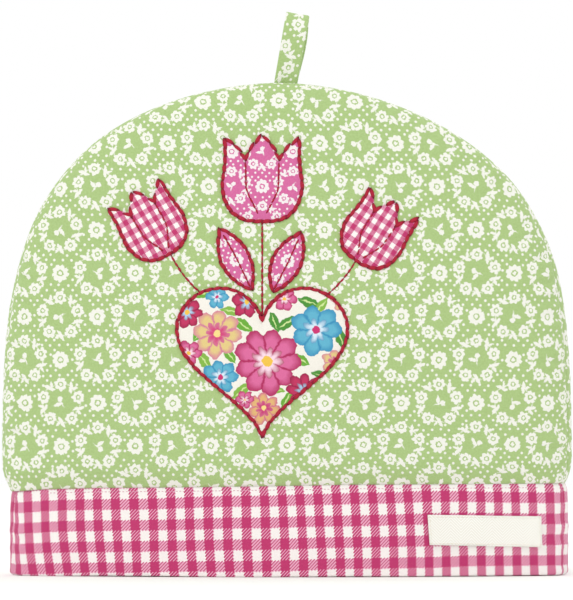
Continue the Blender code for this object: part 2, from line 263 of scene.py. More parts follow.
# %% Outlines of the posy
ARC_STEPS = 14
Corner = namedtuple("Corner", "x z bulge")  # shares of width and height; bulge of the side after it
Place = namedtuple("Place", "x z width height turn")  # turn in degrees, to the right
POSY = {
    "heart": Place(-14, 80, 98, 86, 0),
    "tulip_centre": Place(-14, 205, 46, 49, 0),
    "tulip_left": Place(-68, 186, 37, 41, -30),
    "tulip_right": Place(41, 182, 36, 40, 33),
    "leaf_left": Place(-20, 165, 16, 40, -27),
    "leaf_right": Place(-8, 164, 16, 38, 26),
}
TULIP_HALF = [
    Corner(0.0, 0.0, 0.26),
    Corner(0.5, 0.46, -0.04),
    Corner(0.47, 0.97, 0.1),
    Corner(0.21, 0.7, 0.1),
    Corner(0.0, 1.0, 0.0),
]


def arc(start, end, bulge, steps=ARC_STEPS):
    """Points from start up to, not including, end, along an arc that bulges to the right."""
    start, end = np.array(start, float), np.array(end, float)
    along = end - start
    t = np.linspace(0, 1, steps + 1)[:-1, None]
    return start + along * t + np.array([along[1], -along[0]]) * bulge * 4 * t * (1 - t)


def outline_through(corners):
    ends = [(c.x, c.z) for c in corners]
    return np.concatenate([arc(a, b, c.bulge) for a, b, c in zip(ends, ends[1:] + ends[:1], corners)])


def flat_outline(name):
    """The closed outline of a posy piece, as shares of its width and height."""
    if name == "heart":  # the common heart curve
        t = np.linspace(pi, 3 * pi, 121)[:-1]
        z = 13 * np.cos(t) - 5 * np.cos(2 * t) - 2 * np.cos(3 * t) - np.cos(4 * t)
        return np.stack([np.sin(t) ** 3 / 2, (z - z.min()) / (z.max() - z.min())], axis=-1)
    if name.startswith("leaf"):
        return outline_through([Corner(0, 0, 0.24), Corner(0, 1, 0.26)]) * (2.0, 1.0)
    pairs = zip(TULIP_HALF[::-1][:-1], TULIP_HALF[-2::-1])
    other = [Corner(-corner.x, corner.z, before.bulge) for corner, before in pairs]
    return outline_through(TULIP_HALF[:-1] + other)


def placed(shares, place):
    """Points given as shares of a piece's width and height, as (x, z) on the front."""
    x, z = shares[:, 0] * place.width, shares[:, 1] * place.height
    turn = radians(place.turn)
    return np.stack([place.x + x * cos(turn) + z * sin(turn), place.z - x * sin(turn) + z * cos(turn)], -1)


outlines = {name: placed(flat_outline(name), place) for name, place in POSY.items()}


def bent(start, end, bulge):
    """An open line of stitching between two points."""
    return np.concatenate([arc(start, end, bulge), [end]])


def inside_line(name, points):
    """A line within a piece, through points given as its shares, smoothly."""
    t = np.linspace(0, len(points) - 1, 24)
    shares = [np.interp(t, range(len(points)), [p[k] for p in points]) for k in (0, 1)]
    smoothed = [np.convolve(np.pad(s, 2, mode="edge"), np.ones(5) / 5, mode="valid") for s in shares]
    return placed(np.stack(smoothed, -1), POSY[name])


CLEFT = (-14, 148.5)  # of the heart, where the stems meet
stems = [
    bent(CLEFT, (-14, 204), 0.0),
    bent(CLEFT, (-67, 186), -0.13),
    bent(CLEFT, (40, 182), 0.13),
]
veins = [
    *(inside_line(leaf, [(0, 0.08), (0.03, 0.5), (0, 0.86)]) for leaf in ("leaf_left", "leaf_right")),
    *(
        inside_line(tulip, [(side * 0.06, 0.1), (side * 0.2, 0.36), (side * 0.21, 0.66)])
        for tulip in POSY
        if tulip.startswith("tulip")
        for side in (-1, 1)
    ),
]
for name, points in outlines.items():
    print(f"{name}: {np.hypot(*(np.roll(points, -1, 0) - points).T).sum():.0f} mm round")

# %% [markdown]
# ## Folds and puckers
#
# Sewn and padded cloth is never smooth. It waves softly over the wadding, gathers in small puckers
# along a seam, and sinks where stitching holds it down. These could be sculpted by hand. Here each is
# a small formula with fixed phases, so that the same folds come back every time, and a piece that
# lies on the wall can ask how high the wall is under it.

# %% Relief of the cloth
waves = np.random.default_rng(11)
BROAD = [(length, waves.uniform(0, pi), waves.uniform(0, 2 * pi)) for length in (62, 47, 38, 30, 24)]
BROAD_FLAT = 170  # a broad wave is this many times as long as it is high
FRONT_WAVES, BACK_WAVES = 0.42, 0.5  # how much of the broad waves each wall shows
GROOVE_DEEP, GROOVE_WIDE = 0.9, 2.4  # where the posy's outline stitching draws the wadding in
THIN_DEEP, THIN_WIDE = 0.45, 1.6  # the same along the stems and veins
GROOVE_REACH = 14  # no stitching is felt further off than this
PUFF_HIGH, PUFF_RUN = 1.0, 7.0  # the posy's pieces stand up between their stitching
RELIEF_TOP = 2.5  # pieces laid on the front follow its relief no higher than this
PUCKER_HIGH, PUCKER_FADE = 0.22, 6.5  # small gathers along the whole seam
DRAG_HIGH, DRAG_FADE = 0.55, 17  # slanting drags near its ends


def broad_waves(x, z):
    total = 0
    for length, way, start in BROAD:
        total = total + np.sin(2 * pi / length * (x * cos(way) + z * sin(way)) + start) * length / BROAD_FLAT
    return total


def seam_puckers(x, z):
    """Small gathers that rise from the seam over the band and fade within a few centimetres.

    Each sums waves of unlike lengths, so that no two gathers match.
    """
    off = np.abs(z - BAND_SEAM)
    ripple = np.sin(2 * pi * x / 8.7 + 1.4 * np.sin(x / 23)) + 0.7 * np.sin(2 * pi * x / 5.1 + np.sin(x / 9))
    ends = np.clip((np.abs(x) - 100) / 60, 0, 1)
    drag = np.sin((x - np.sign(x) * 0.7 * (z - BAND_SEAM)) / 4.2) * np.exp(-off / DRAG_FADE)
    return np.exp(-off / PUCKER_FADE) * ripple * PUCKER_HIGH + ends * drag * DRAG_HIGH


def distance_to(points, lines):
    """Distance from each point to the nearest of several lines of points, where one is within reach."""
    best = np.full(len(points), 1e9)
    for line in lines:
        near = np.all((points > line.min(0) - GROOVE_REACH) & (points < line.max(0) + GROOVE_REACH), axis=1)
        if not near.any():
            continue
        p, a, b = points[near][:, None], line[:-1], line[1:]
        along = b - a
        t = np.clip(((p - a) * along).sum(-1) / np.maximum((along**2).sum(-1), 1e-9), 0, 1)
        gap = np.linalg.norm(p - a - t[..., None] * along, axis=-1).min(1)
        best[near] = np.minimum(best[near], gap)
    return best


def within(points, outline):
    """Which points lie inside a closed outline."""
    a, b = outline, np.roll(outline, -1, 0)
    x, z = points[:, None, 0], points[:, None, 1]
    cuts = (a[:, 1] > z) != (b[:, 1] > z)
    with np.errstate(divide="ignore", invalid="ignore"):
        left = x < (b[:, 0] - a[:, 0]) * (z - a[:, 1]) / (b[:, 1] - a[:, 1]) + a[:, 0]
    return (cuts & left).sum(1) % 2 == 1


rims = [np.concatenate([line, line[:1]]) for line in outlines.values()]


def posy_relief(x, z):
    """How the wadding rises under the posy's pieces and sinks along their stitching."""
    points = np.stack([np.ravel(x), np.ravel(z)], axis=-1)
    gap = distance_to(points, rims)
    thin = distance_to(points, stems + veins)
    rise = -GROOVE_DEEP * np.exp(-((gap / GROOVE_WIDE) ** 2)) - THIN_DEEP * np.exp(-((thin / THIN_WIDE) ** 2))
    for outline in outlines.values():
        near = np.all((points > outline.min(0)) & (points < outline.max(0)), axis=1)
        inside = np.zeros(len(points), bool)
        inside[near] = within(points[near], outline)
        rise += np.where(inside, PUFF_HIGH * (1 - np.exp(-gap / PUFF_RUN)), 0)
    return rise.reshape(np.shape(x))


def front_surface(x, z):
    """Height of the finished front above the seam plane, x measured from the middle of the cosy."""
    x, z = np.asarray(x, float), np.asarray(z, float)
    own = x - lean(z)
    relief = FRONT_WAVES * broad_waves(own, z) + seam_puckers(own, z) + posy_relief(x, z)
    return face_depth(own, z) + np.minimum(relief, RELIEF_TOP)


print(f"front at the middle stands {float(front_surface(0.0, 180.0)):.1f} mm off the seam plane")

# %% [markdown]
# ## Panels and bands
#
# Each wall has an outer cloth, wadding and an inner cloth, all sewn together along the rim. It is made
# as one closed form: rows of points over the face, over the padded edge into the seam, and back over
# the inner face. Rows of points were chosen over a sculpted or simulated form because the cloth keeps
# its own measure on them: the UV map "cloth" says where each point was on the flat cloth, in metres,
# so that the print runs round the edge without stretching.
#
# Nothing sewn by hand is quite even. The side seams have turned a little to the front, the band's
# threads don't run quite along its edges, and its hem, turned up inside, lifts off the table here and
# there. The back is cut from another stretch of the same cloths, so that its print isn't a mirror
# image of the front's.

# %% Rows of points for a wall
EDGE_STEPS = 14
SIDE_STEPS, CROWN_STEPS = 104, 156
BAND_ROWS = 34
HEM_TURN = 9.0  # how far the gingham is turned up inside
HEM_LEVELS, ABOVE_HEM = [0, 0.25, 0.7, 1.3, 2.0], 3.2  # closer rows of points where the hem rounds over
RIM_PUCKER = 0.55
SEAM_FACED = ([-165, -120, 0, 120, 165], [0.6, 0.4, 0.1, 0.4, 1.0])  # share of the seam turned to the front
BAND_EASED = 5.0  # the band's cloth is gathered from here in, not from the end of the padded edge
CORNER_ROUND, CORNER_RUN = 3.2, 12.0  # the foot's corners at the sides
BACK_CUT = (17.0, 12.0)  # how far along and up the cloth the back is cut
STRIPE_LEAN = ([-165, -60, 20, 165], [0.0, 0.02, 0.05, 0.035])
STRIPE_CURL = ([-165, -140, -90, 20], [4.2, 3.8, 0.8, 0.0])
STRIPE_EASE = ([-165, -140, -110, -60, -20], [3.6, 4.4, 3.0, 0.9, 0.0])
ROW_CLIMB = ([-120, -79, -21, 37, 72, 165], [0.0, 0.3, 1.1, 1.9, 2.5, 2.7])


def broad_relief(x, z, side):
    """Relief of a wall, x from the middle of its outline, away from the padded edge."""
    if side < 0:
        rise = FRONT_WAVES * broad_waves(x, z) + posy_relief(x + lean(z), z)
    else:
        rise = BACK_WAVES * broad_waves(90 - x, z + 40)  # moved, so that its folds are its own
    return rise + seam_puckers(x * -side, z)


def edge_section():
    """The padded edge from the seam to the face: reach in from the rim, height off the seam plane."""
    angle = np.linspace(-VALLEY_ANGLE, pi / 2, EDGE_STEPS + 1)
    below = angle < 0
    reach = np.where(below, SEAM_VALLEY / (1 - cos(VALLEY_ANGLE)), EDGE_REACH) * (1 - np.cos(angle))
    high = np.where(below, EDGE_FULL / sin(VALLEY_ANGLE), PAD_HALF - EDGE_FULL) * np.sin(angle) + EDGE_FULL
    return reach, high, below


def flat(points):
    return points[..., [0, 2]]


def padded_edge(rim, inward, run, side, eased=EDGE_REACH):
    """Outer and inner rows of the padded edge along a rim, and the outer rows' places on the flat cloth.

    The cloth keeps its own measure from the rim in to the eased reach. From there on its pattern goes
    by the straight way to the face, as gathered cloth does, so that it runs on evenly.
    """
    reach, high, below = edge_section()
    faced = np.interp(rim[:, :1], *SEAM_FACED) if side < 0 else 0 * rim[:, :1]
    drawn_in = np.where(below, SEAM_VALLEY - reach, SEAM_VALLEY * (1 - reach / EDGE_REACH))
    at = rim[:, None] + inward[:, None] * (reach + faced * drawn_in)[..., None]
    x, z = at[..., 0], at[..., 1]
    y = np.broadcast_to(high, x.shape) + GAP / 2 + np.where(below, 0, opening(x, z))
    share = np.where(below, 0, (reach / EDGE_REACH) ** 0.5)
    pucker = np.sin(run / 1.37 + 1.7 * np.sin(run / 11)) + 0.8 * np.sin(run / 2.3 + 2.1 * np.sin(run / 17))
    rise = broad_relief(x, z, side) * share + RIM_PUCKER * pucker[:, None] * np.sin(pi * share**0.7)[None]
    steps = np.stack([EDGE_REACH - reach, -high], axis=-1)
    steps /= np.linalg.norm(steps, axis=-1, keepdims=True)
    draw = dip(z) - rise
    outer = np.stack([x + inward[:, None, 0] * steps[:, 0] * draw, y + steps[:, 1] * draw, z], axis=-1)

    rolled = np.concatenate([[0], np.cumsum(np.hypot(np.diff(reach), np.diff(high)))])
    left_over = np.repeat((rolled[-1] - rolled)[None], len(rim), axis=0)
    turn_in = int(np.argmax(~below & (reach >= eased - 1e-6)))
    straight = ((flat(outer[:, -1:]) - flat(outer)) * inward[:, None]).sum(-1)
    left_over += (straight - left_over)[:, turn_in : turn_in + 1]
    left_over = np.where(np.arange(len(reach)) < turn_in, left_over, straight)[..., None]
    border = np.stack([cloth_run(x[:, -1], z[:, -1]), z[:, -1]], axis=-1)
    cloth = border[:, None] - inward[:, None] * left_over

    turn = np.linspace(0, pi / 2, EDGE_STEPS + 1)
    inner_reach = INNER_REACH - (INNER_REACH - SEAM_INSIDE) * np.cos(turn)
    at = rim[:, None] + inward[:, None] * inner_reach[None, :, None]
    face = PAD_HALF - WALL + opening(at[:, -1, 0], at[:, -1, 1])
    deep = GAP / 2 + (face[:, None] + rounded(at[..., 1], HEM_ROUND_INNER)) * np.sin(turn)
    inner = np.stack([at[..., 0], deep, at[..., 1]], axis=-1)
    return outer, inner, cloth


def rim_of_dome():
    """Points along the rim from the right end of the band seam over the crown to the left end."""
    low = BAND_SEAM + SEAM_GAP
    sides = np.linspace(low, SHOULDER, SIDE_STEPS + 1)[:-1]
    level = DOME_TOP - (DOME_TOP - SHOULDER) * np.linspace(1, 0, 4000) ** 2
    over = np.stack([half_width(level), level], axis=-1)
    far = np.concatenate([[0], np.cumsum(np.linalg.norm(np.diff(over, axis=0), axis=1))])
    wanted = np.linspace(0, far[-1], CROWN_STEPS // 2 + 1)
    crown = np.stack([np.interp(wanted, far, over[:, k]) for k in (0, 1)], axis=-1)
    half = np.concatenate([np.stack([half_width(sides), sides], axis=-1), crown])
    rise = np.clip((half[:, 1] - DOME_FOOT) / (DOME_TOP - DOME_FOOT), 0, 1)
    along_x = SIDE_POWER * (half[:, 0] / HALF_WIDTH) ** (SIDE_POWER - 1) / HALF_WIDTH
    along_z = RISE_POWER * rise ** (RISE_POWER - 1) / (DOME_TOP - DOME_FOOT)
    inward = -np.stack([along_x, along_z], axis=-1)
    inward /= np.linalg.norm(inward, axis=-1, keepdims=True)
    return [np.concatenate([part, part[-2::-1] * (-1, 1)]) for part in (half, inward)]


def face_rows(edge):
    """Points (x, z) over the face inside a padded edge, whose inner line is given, from below up."""
    right, left = edge[: SIDE_STEPS + 1], edge[::-1][: SIDE_STEPS + 1]
    top = edge[SIDE_STEPS : len(edge) - SIDE_STEPS]
    bottom = np.linspace(right[0], left[0], CROWN_STEPS + 1)
    across = np.linspace(0, 1, CROWN_STEPS + 1)[None, :, None]
    up = ((right[:, 1] - right[0, 1]) / (right[-1, 1] - right[0, 1]))[:, None, None]
    sides = (1 - across) * right[:, None] + across * left[:, None]
    ends = (1 - up) * ((1 - across) * right[0] + across * left[0])
    ends = ends + up * ((1 - across) * right[-1] + across * left[-1])
    return sides + (1 - up) * bottom + up * top - ends


def panel_sheets(side):
    rim, inward = rim_of_dome()
    run = np.concatenate([[0], np.cumsum(np.linalg.norm(np.diff(rim, axis=0), axis=1))])
    outer, inner, cloth = padded_edge(rim, inward, run, side)
    low = BAND_SEAM + SEAM_GAP
    for ring in (outer, inner):
        ring[0, :, 2] = ring[-1, :, 2] = low
    faces = []
    for ring in (outer, inner):
        area = face_rows(flat(ring[:, -1]))
        x, z = area[..., 0], area[..., 1]
        if ring is outer:
            deep = face_depth(x, z) + broad_relief(x, z, side)
        else:
            deep = GAP / 2 + PAD_HALF - WALL + opening(x, z)
        face = np.stack([x, deep, z], axis=-1)
        face[:, 0], face[:, -1] = ring[: SIDE_STEPS + 1, -1], ring[::-1][: SIDE_STEPS + 1, -1]
        face[-1] = ring[SIDE_STEPS : len(ring) - SIDE_STEPS, -1]
        face[0, :, 2] = low
        faces.append(face)
    x, z = faces[0][..., 0], faces[0][..., 2]
    face_cloth = np.stack([cloth_run(x, z), z], axis=-1)
    face_cloth[:, 0], face_cloth[:, -1] = cloth[: SIDE_STEPS + 1, -1], cloth[::-1][: SIDE_STEPS + 1, -1]
    face_cloth[-1] = cloth[SIDE_STEPS : len(cloth) - SIDE_STEPS, -1]
    feet = np.stack([np.concatenate([r[0], f[0, 1:-1], r[-1][::-1]]) for r, f in zip((outer, inner), faces)])
    seam = np.stack([outer[:, 0], inner[:, 0]])
    return [
        (outer, cloth, 0),
        (faces[0], face_cloth, 0),
        (inner, flat(inner), 1),
        (faces[1], flat(faces[1]), 1),
        (seam, flat(seam), 1),
        (feet, flat(feet), 1),
    ]


def off_grain(spots):
    """A band is never cut quite along its threads: its stripes lean, and its rows climb to the right."""
    x, z = spots[..., 0], spots[..., 1]
    slope = np.interp(x, *STRIPE_LEAN)
    curl = np.interp(x, *STRIPE_CURL) * (1 - z / BAND_SEAM) ** 2
    climb = np.interp(x, *ROW_CLIMB)  # and towards both ends the rows fan out a little
    climb = climb + 2.6 * np.clip((x - 80) / 70, 0, 1) * (0.5 - z / BAND_SEAM)
    climb = climb - 1.2 * np.clip(-(x + 79) / 60, 0, 1) * (1 - z / BAND_SEAM)
    moved = x + slope * (z - BAND_SEAM / 2) - curl + np.interp(x, *STRIPE_EASE)
    return np.stack([moved, z - climb], axis=-1)


def band_sheets(side):
    above = np.linspace(ABOVE_HEM, BAND_SEAM - SEAM_GAP, BAND_ROWS - len(HEM_LEVELS))
    levels = np.concatenate([HEM_LEVELS, above])
    rim = np.stack([half_width(levels), levels], axis=-1)
    inward = np.tile([-1.0, 0.0], (len(levels), 1))
    outer, inner, cloth = padded_edge(rim, inward, levels, side, BAND_EASED)
    across = np.linspace(1, -1, CROWN_STEPS + 1)[1:-1]
    rows = []
    for ring in (outer, inner):
        x = across * ring[:, -1:, 0]
        z = np.broadcast_to(levels[:, None], x.shape)
        if ring is outer:
            deep = face_depth(x, z) + broad_relief(x, z, side)
            spots = np.stack([cloth_run(x, z), z], axis=-1)
            mirror = cloth[:, ::-1] * (-1, 1)
            spots = np.concatenate([cloth, spots, mirror], axis=1)
        else:
            deep = GAP / 2 + PAD_HALF - WALL + opening(x, z) + rounded(z, HEM_ROUND_INNER)
        middle = np.stack([x, deep, z], axis=-1)
        rows.append(np.concatenate([ring, middle, ring[:, ::-1] * (-1, 1, 1)], axis=1))
    outer, inner = rows
    for ring in rows:
        x, _, z = np.moveaxis(ring, -1, 0)
        ends = np.clip((np.abs(x) - HALF_WIDTH + CORNER_RUN) / CORNER_RUN, 0, 1)
        ring[..., 0] -= np.sign(x) * ends * rounded(z, CORNER_ROUND)
    outer[..., 2] += np.interp(outer[..., 0], *HEM_LIFT) * np.exp(-outer[..., 2] / HEM_GIVE)
    turned = int(np.searchsorted(levels, HEM_TURN))
    hem = np.stack([outer[0], inner[0]])
    under = off_grain(flat(inner) * (1, -1))
    spots = off_grain(spots)
    top = np.stack([outer[-1], inner[-1]])
    ends = [np.stack([outer[:, end], inner[:, end]]) for end in (0, -1)]
    return [
        (outer, spots, 0),
        (inner[: turned + 1], under[: turned + 1], 0),
        (inner[turned:], flat(inner[turned:]), 1),
        (hem, np.stack([spots[0], under[0]]), 0),
        *((hidden, flat(hidden), 1) for hidden in (top, *ends)),
    ]


# %% Joining the rows into a closed form
def closed_form(name, sheets, side, materials):
    """One closed mesh from rows of points (x, y outwards, z), with the cloth's own UV map."""
    places, cells, spots, slots, start = [], [], [], [], 0
    for points, cloth, slot in sheets:
        rows, columns = points.shape[:2]
        index = start + np.arange(rows * columns).reshape(rows, columns)
        corners = [index[:-1, :-1], index[:-1, 1:], index[1:, 1:], index[1:, :-1]]
        quads = np.stack(corners, axis=-1).reshape(-1, 4)
        cells.append(quads)
        places.append(points.reshape(-1, 3))
        spots.append(cloth.reshape(-1, 2)[quads.ravel() - start])
        slots.append(np.full(len(quads), slot))
        start += rows * columns
    points = np.concatenate(places)
    x, y, z = points.T
    points = np.stack([x + lean(z), side * y, settled(x, z)], axis=-1) * MM
    spots = np.concatenate(spots) if side < 0 else np.concatenate(spots) * (-1, 1) + BACK_CUT
    mesh = bpy.data.meshes.new(name)
    mesh.from_pydata(points.tolist(), [], np.concatenate(cells).tolist())
    cloth_map = mesh.uv_layers.new(name="cloth")
    cloth_map.uv.foreach_set("vector", (spots * MM).astype(np.float32).ravel())
    mesh.polygons.foreach_set("material_index", np.concatenate(slots).astype(np.int32))
    form = bmesh.new()
    form.from_mesh(mesh)
    bmesh.ops.remove_doubles(form, verts=form.verts, dist=0.00001)
    bmesh.ops.recalc_face_normals(form, faces=form.faces)
    open_edges = sum(not edge.is_manifold for edge in form.edges)
    form.to_mesh(mesh)
    form.free()
    mesh.shade_smooth()
    for material in materials:
        mesh.materials.append(material)
    print(f"{name}: {len(mesh.polygons)} faces, {open_edges} open edges")
    return link_to_scene(name, mesh)

# %% [markdown]
# ## Nodes that every cloth shares
#
# Cotton sheeting is a plain weave: each thread goes over one and under the next. Its threads are about
# a third of a millimetre apart, too fine for the picture, so the weave is drawn 0.9 mm apart. It makes
# a little relief for the light and a little shade between the threads. All cloth reads its own "cloth"
# map, so the weave follows the piece. A node group keeps these nodes in one place for every material,
# and so does one for a blossom and one for a leaf, out of which both prints are built.

# %% Names of nodes, and groups of them
MATH, VECTOR, MIX, RAMP = "ShaderNodeMath", "ShaderNodeVectorMath", "ShaderNodeMix", "ShaderNodeMapRange"
COLOURS = dict(data_type="RGBA", out=2)  # what a mix node needs to mix its inputs 6 and 7 as colours
WEAVE_PITCH = 0.9  # mm; real sheeting is about 0.35, drawn coarser so that it shows
SOFT_EDGE = 3.0  # a print's edge takes a third of a millimetre
NOISE_MEAN = (0.5, 0.5, 0.5)  # taken off a noise, it leaves a shift to either side
COTTON_ROUGHNESS, COTTON_SHEEN = 0.88, 0.15


def new_group(name, takes, gives, kind="ShaderNodeTree"):
    """A node group with named inputs and outputs; returns it and the sockets that it takes."""
    tree = bpy.data.node_groups.new(name, kind)
    for label, (socket, value) in takes.items():
        made = tree.interface.new_socket(label, in_out="INPUT", socket_type=socket)
        if value is not None:
            made.default_value = value
    for label, socket in gives.items():
        tree.interface.new_socket(label, in_out="OUTPUT", socket_type=socket)
    given = tree.nodes.new("NodeGroupInput")
    return tree, [given.outputs[label] for label in takes]


def give(tree, *sockets):
    add(tree, "NodeGroupOutput", *sockets)
    return tree


def plain_weave():
    tree, (place, pitch) = new_group(
        "plain weave",
        {"Place": ("NodeSocketVector", None), "Pitch": ("NodeSocketFloat", WEAVE_PITCH)},
        {"Height": "NodeSocketFloat"},
    )
    turns = add(tree, VECTOR, place, at={3: 2 * pi}, operation="SCALE")
    ways = add(tree, "ShaderNodeSeparateXYZ", turns).node.outputs[:2]
    turns = [add(tree, MATH, way, pitch, operation="DIVIDE") for way in ways]
    waves = [add(tree, MATH, turn, operation="SINE") for turn in turns]
    return give(tree, add(tree, MATH, *waves, operation="MULTIPLY"))


def blossom():
    """A flower seen flat: a disc with round petals and a thin ring for its eye."""
    number = "NodeSocketFloat"
    tree, (place, radius, petals, depth, turn, eye, line) = new_group(
        "blossom",
        {
            "Place": ("NodeSocketVector", None),
            "Radius": (number, 3.55),
            "Petals": (number, 7.0),
            "Petal depth": (number, 0.5),
            "Turn": (number, 0.0),
            "Eye": (number, 1.2),
            "Eye line": (number, 0.33),
        },
        {"Mask": number, "Share": number, "Petal": number},
    )
    x, y, _ = add(tree, "ShaderNodeSeparateXYZ", place).node.outputs
    away = add(tree, VECTOR, place, operation="LENGTH", out=1)
    angle = add(tree, MATH, y, x, operation="ARCTAN2")
    half_way = add(tree, MATH, angle, petals, turn, operation="MULTIPLY_ADD")
    half_way = add(tree, MATH, half_way, 0.5, operation="MULTIPLY")
    petal = add(tree, MATH, add(tree, MATH, half_way, operation="COSINE"), operation="ABSOLUTE")
    slow = add(tree, MATH, add(tree, MATH, angle, 3.0, turn, operation="MULTIPLY_ADD"), operation="SINE")
    wave = add(tree, MATH, petal, 2.0, -1.27, operation="MULTIPLY_ADD")  # round petals, none on the mean
    wave = add(tree, MATH, slow, 0.4, wave, operation="MULTIPLY_ADD")  # no two petals quite alike
    edge = add(tree, MATH, wave, depth, radius, operation="MULTIPLY_ADD")
    body = add(tree, MATH, edge, away, operation="SUBTRACT")
    body = add(tree, MATH, body, SOFT_EDGE, 0.5, operation="MULTIPLY_ADD", use_clamp=True)
    off = add(tree, MATH, add(tree, MATH, away, eye, operation="SUBTRACT"), operation="ABSOLUTE")
    off = add(tree, MATH, off, line, operation="SUBTRACT")
    clear = add(tree, MATH, off, SOFT_EDGE * 1.6, 0.5, operation="MULTIPLY_ADD", use_clamp=True)
    share = add(tree, MATH, away, edge, operation="DIVIDE")
    return give(tree, add(tree, MATH, body, clear, operation="MULTIPLY"), share, petal)


def leaf():
    """A small stalk, bud or leaf at a place, turned: an ellipse, or a lens where it is pointed."""
    tree, (place, centre, angle, half, pointed) = new_group(
        "leaf",
        {
            "Place": ("NodeSocketVector", None),
            "Centre": ("NodeSocketVector", None),
            "Angle": ("NodeSocketFloat", 0.0),
            "Half size": ("NodeSocketVector", (1.7, 0.65, 1.0)),
            "Pointed": ("NodeSocketFloat", 0.0),
        },
        {"Mask": "NodeSocketFloat"},
    )
    turned = add(
        tree,
        "ShaderNodeVectorRotate",
        add(tree, VECTOR, place, centre, operation="SUBTRACT"),
        at={"Angle": angle},
        rotation_type="Z_AXIS",
    )
    share = add(tree, VECTOR, turned, half, operation="DIVIDE")
    along, across, _ = add(tree, "ShaderNodeSeparateXYZ", share).node.outputs
    off = add(tree, MATH, across, operation="ABSOLUTE")
    lens = add(tree, MATH, along, along, off, operation="MULTIPLY_ADD")
    ellipse = add(tree, VECTOR, share, operation="LENGTH", out=1)
    share = add(tree, MIX, at={0: pointed, 2: ellipse, 3: lens}, data_type="FLOAT")
    long, wide, _ = add(tree, "ShaderNodeSeparateXYZ", half).node.outputs
    inside = add(tree, MATH, 1.0, share, operation="SUBTRACT")
    inside = add(tree, MATH, inside, add(tree, MATH, long, wide, operation="MINIMUM"), operation="MULTIPLY")
    return give(tree, add(tree, MATH, inside, SOFT_EDGE, 0.5, operation="MULTIPLY_ADD", use_clamp=True))


weave_group, blossom_group, leaf_group = plain_weave(), blossom(), leaf()


def start_material(name):
    """A new cloth material's tree and the place on its cloth, in millimetres."""
    material = bpy.data.materials.new(name)
    material.use_nodes = True
    tree = material.node_tree
    tree.nodes["Principled BSDF"].inputs["Metallic"].default_value = 0.0
    cloth_map = add(tree, "ShaderNodeUVMap", uv_map="cloth")
    return material, tree, add(tree, VECTOR, cloth_map, at={3: 1 / MM}, operation="SCALE")


def finish_cloth(tree, place, colour, pitch=WEAVE_PITCH, relief=0.05):
    """Weave, nap and finish for a cloth's colour: matt, with a faint sheen and a shade between threads."""
    height = add(tree, "ShaderNodeGroup", place, pitch, node_tree=weave_group)
    shade = add(tree, MATH, height, 0.05, 1.0, operation="MULTIPLY_ADD")
    nap = add(tree, "ShaderNodeTexNoise", place, at={"Scale": 1.3, "Detail": 3.0})
    nap = add(tree, MATH, nap, 0.16, 0.92, operation="MULTIPLY_ADD")
    shade = add(tree, MATH, nap, shade, operation="MULTIPLY")
    shaded = add(tree, VECTOR, colour, at={3: shade}, operation="SCALE")
    bump = add(tree, "ShaderNodeBump", at={"Height": height, "Distance": relief * MM, "Strength": 0.9})
    shader = tree.nodes["Principled BSDF"]
    tree.links.new(shaded, shader.inputs["Base Color"])
    tree.links.new(bump, shader.inputs["Normal"])
    shader.inputs["Roughness"].default_value = COTTON_ROUGHNESS
    shader.inputs["Specular IOR Level"].default_value = 0.2
    shader.inputs["Sheen Weight"].default_value = COTTON_SHEEN
    shader.inputs["Sheen Roughness"].default_value = 0.6


# %% [markdown]
# ## The flowered print
#
# The panels are a small all-over flower print in cream on light green: rings of five flowers with
# leaves between them and a bud in the middle, single daisies between the rings, and dots in the space
# that is left. A picture of the cloth could be laid on it, but a print built of nodes stays sharp at
# any distance. Space is folded into one repeat, then into the five places of a ring, so that one
# flower is drawn and shows everywhere. The same print in pink and white is used for the posy.

# %% The print as nodes
REPEAT = (44.0, 50.0, 1.0)  # mm, with a second ring in the middle of each repeat
RING_RADIUS = 10.9
FIFTH = 2 * pi / 5
DAISY, DAISY_EYE = (4.75, 9.0, 0.5), (1.55, 0.38)  # radius, petals and their depth; radius and half width
DOT_REPEAT, DOT_RADIUS = (5.1, 5.8, 1.0), 0.78
CLEAR_OF_FLOWER, CLEAR_OF_TWIG, CLEAR_OF_DAISY = 4.9, 3.6, 6.4


def nearest_place():
    """The nearest place of a staggered repeat, and the spot as seen from there."""
    tree, (place, repeat) = new_group(
        "nearest place",
        {"Place": ("NodeSocketVector", None), "Repeat": ("NodeSocketVector", REPEAT)},
        {"From centre": "NodeSocketVector", "Centre": "NodeSocketVector"},
    )
    half = add(tree, VECTOR, repeat, (0.5, 0.5, 0.0), operation="MULTIPLY")
    corner = add(tree, VECTOR, add(tree, VECTOR, place, half, operation="ADD"), repeat, operation="SNAP")
    middle = add(tree, VECTOR, add(tree, VECTOR, place, repeat, operation="SNAP"), half, operation="ADD")
    gaps = [add(tree, VECTOR, place, one, operation="DISTANCE", out=1) for one in (corner, middle)]
    nearer = add(tree, MATH, gaps[1], gaps[0], operation="LESS_THAN")
    centre = add(tree, MIX, at={0: nearer, 4: corner, 5: middle}, data_type="VECTOR", out=1)
    return give(tree, add(tree, VECTOR, place, centre, operation="SUBTRACT"), centre)


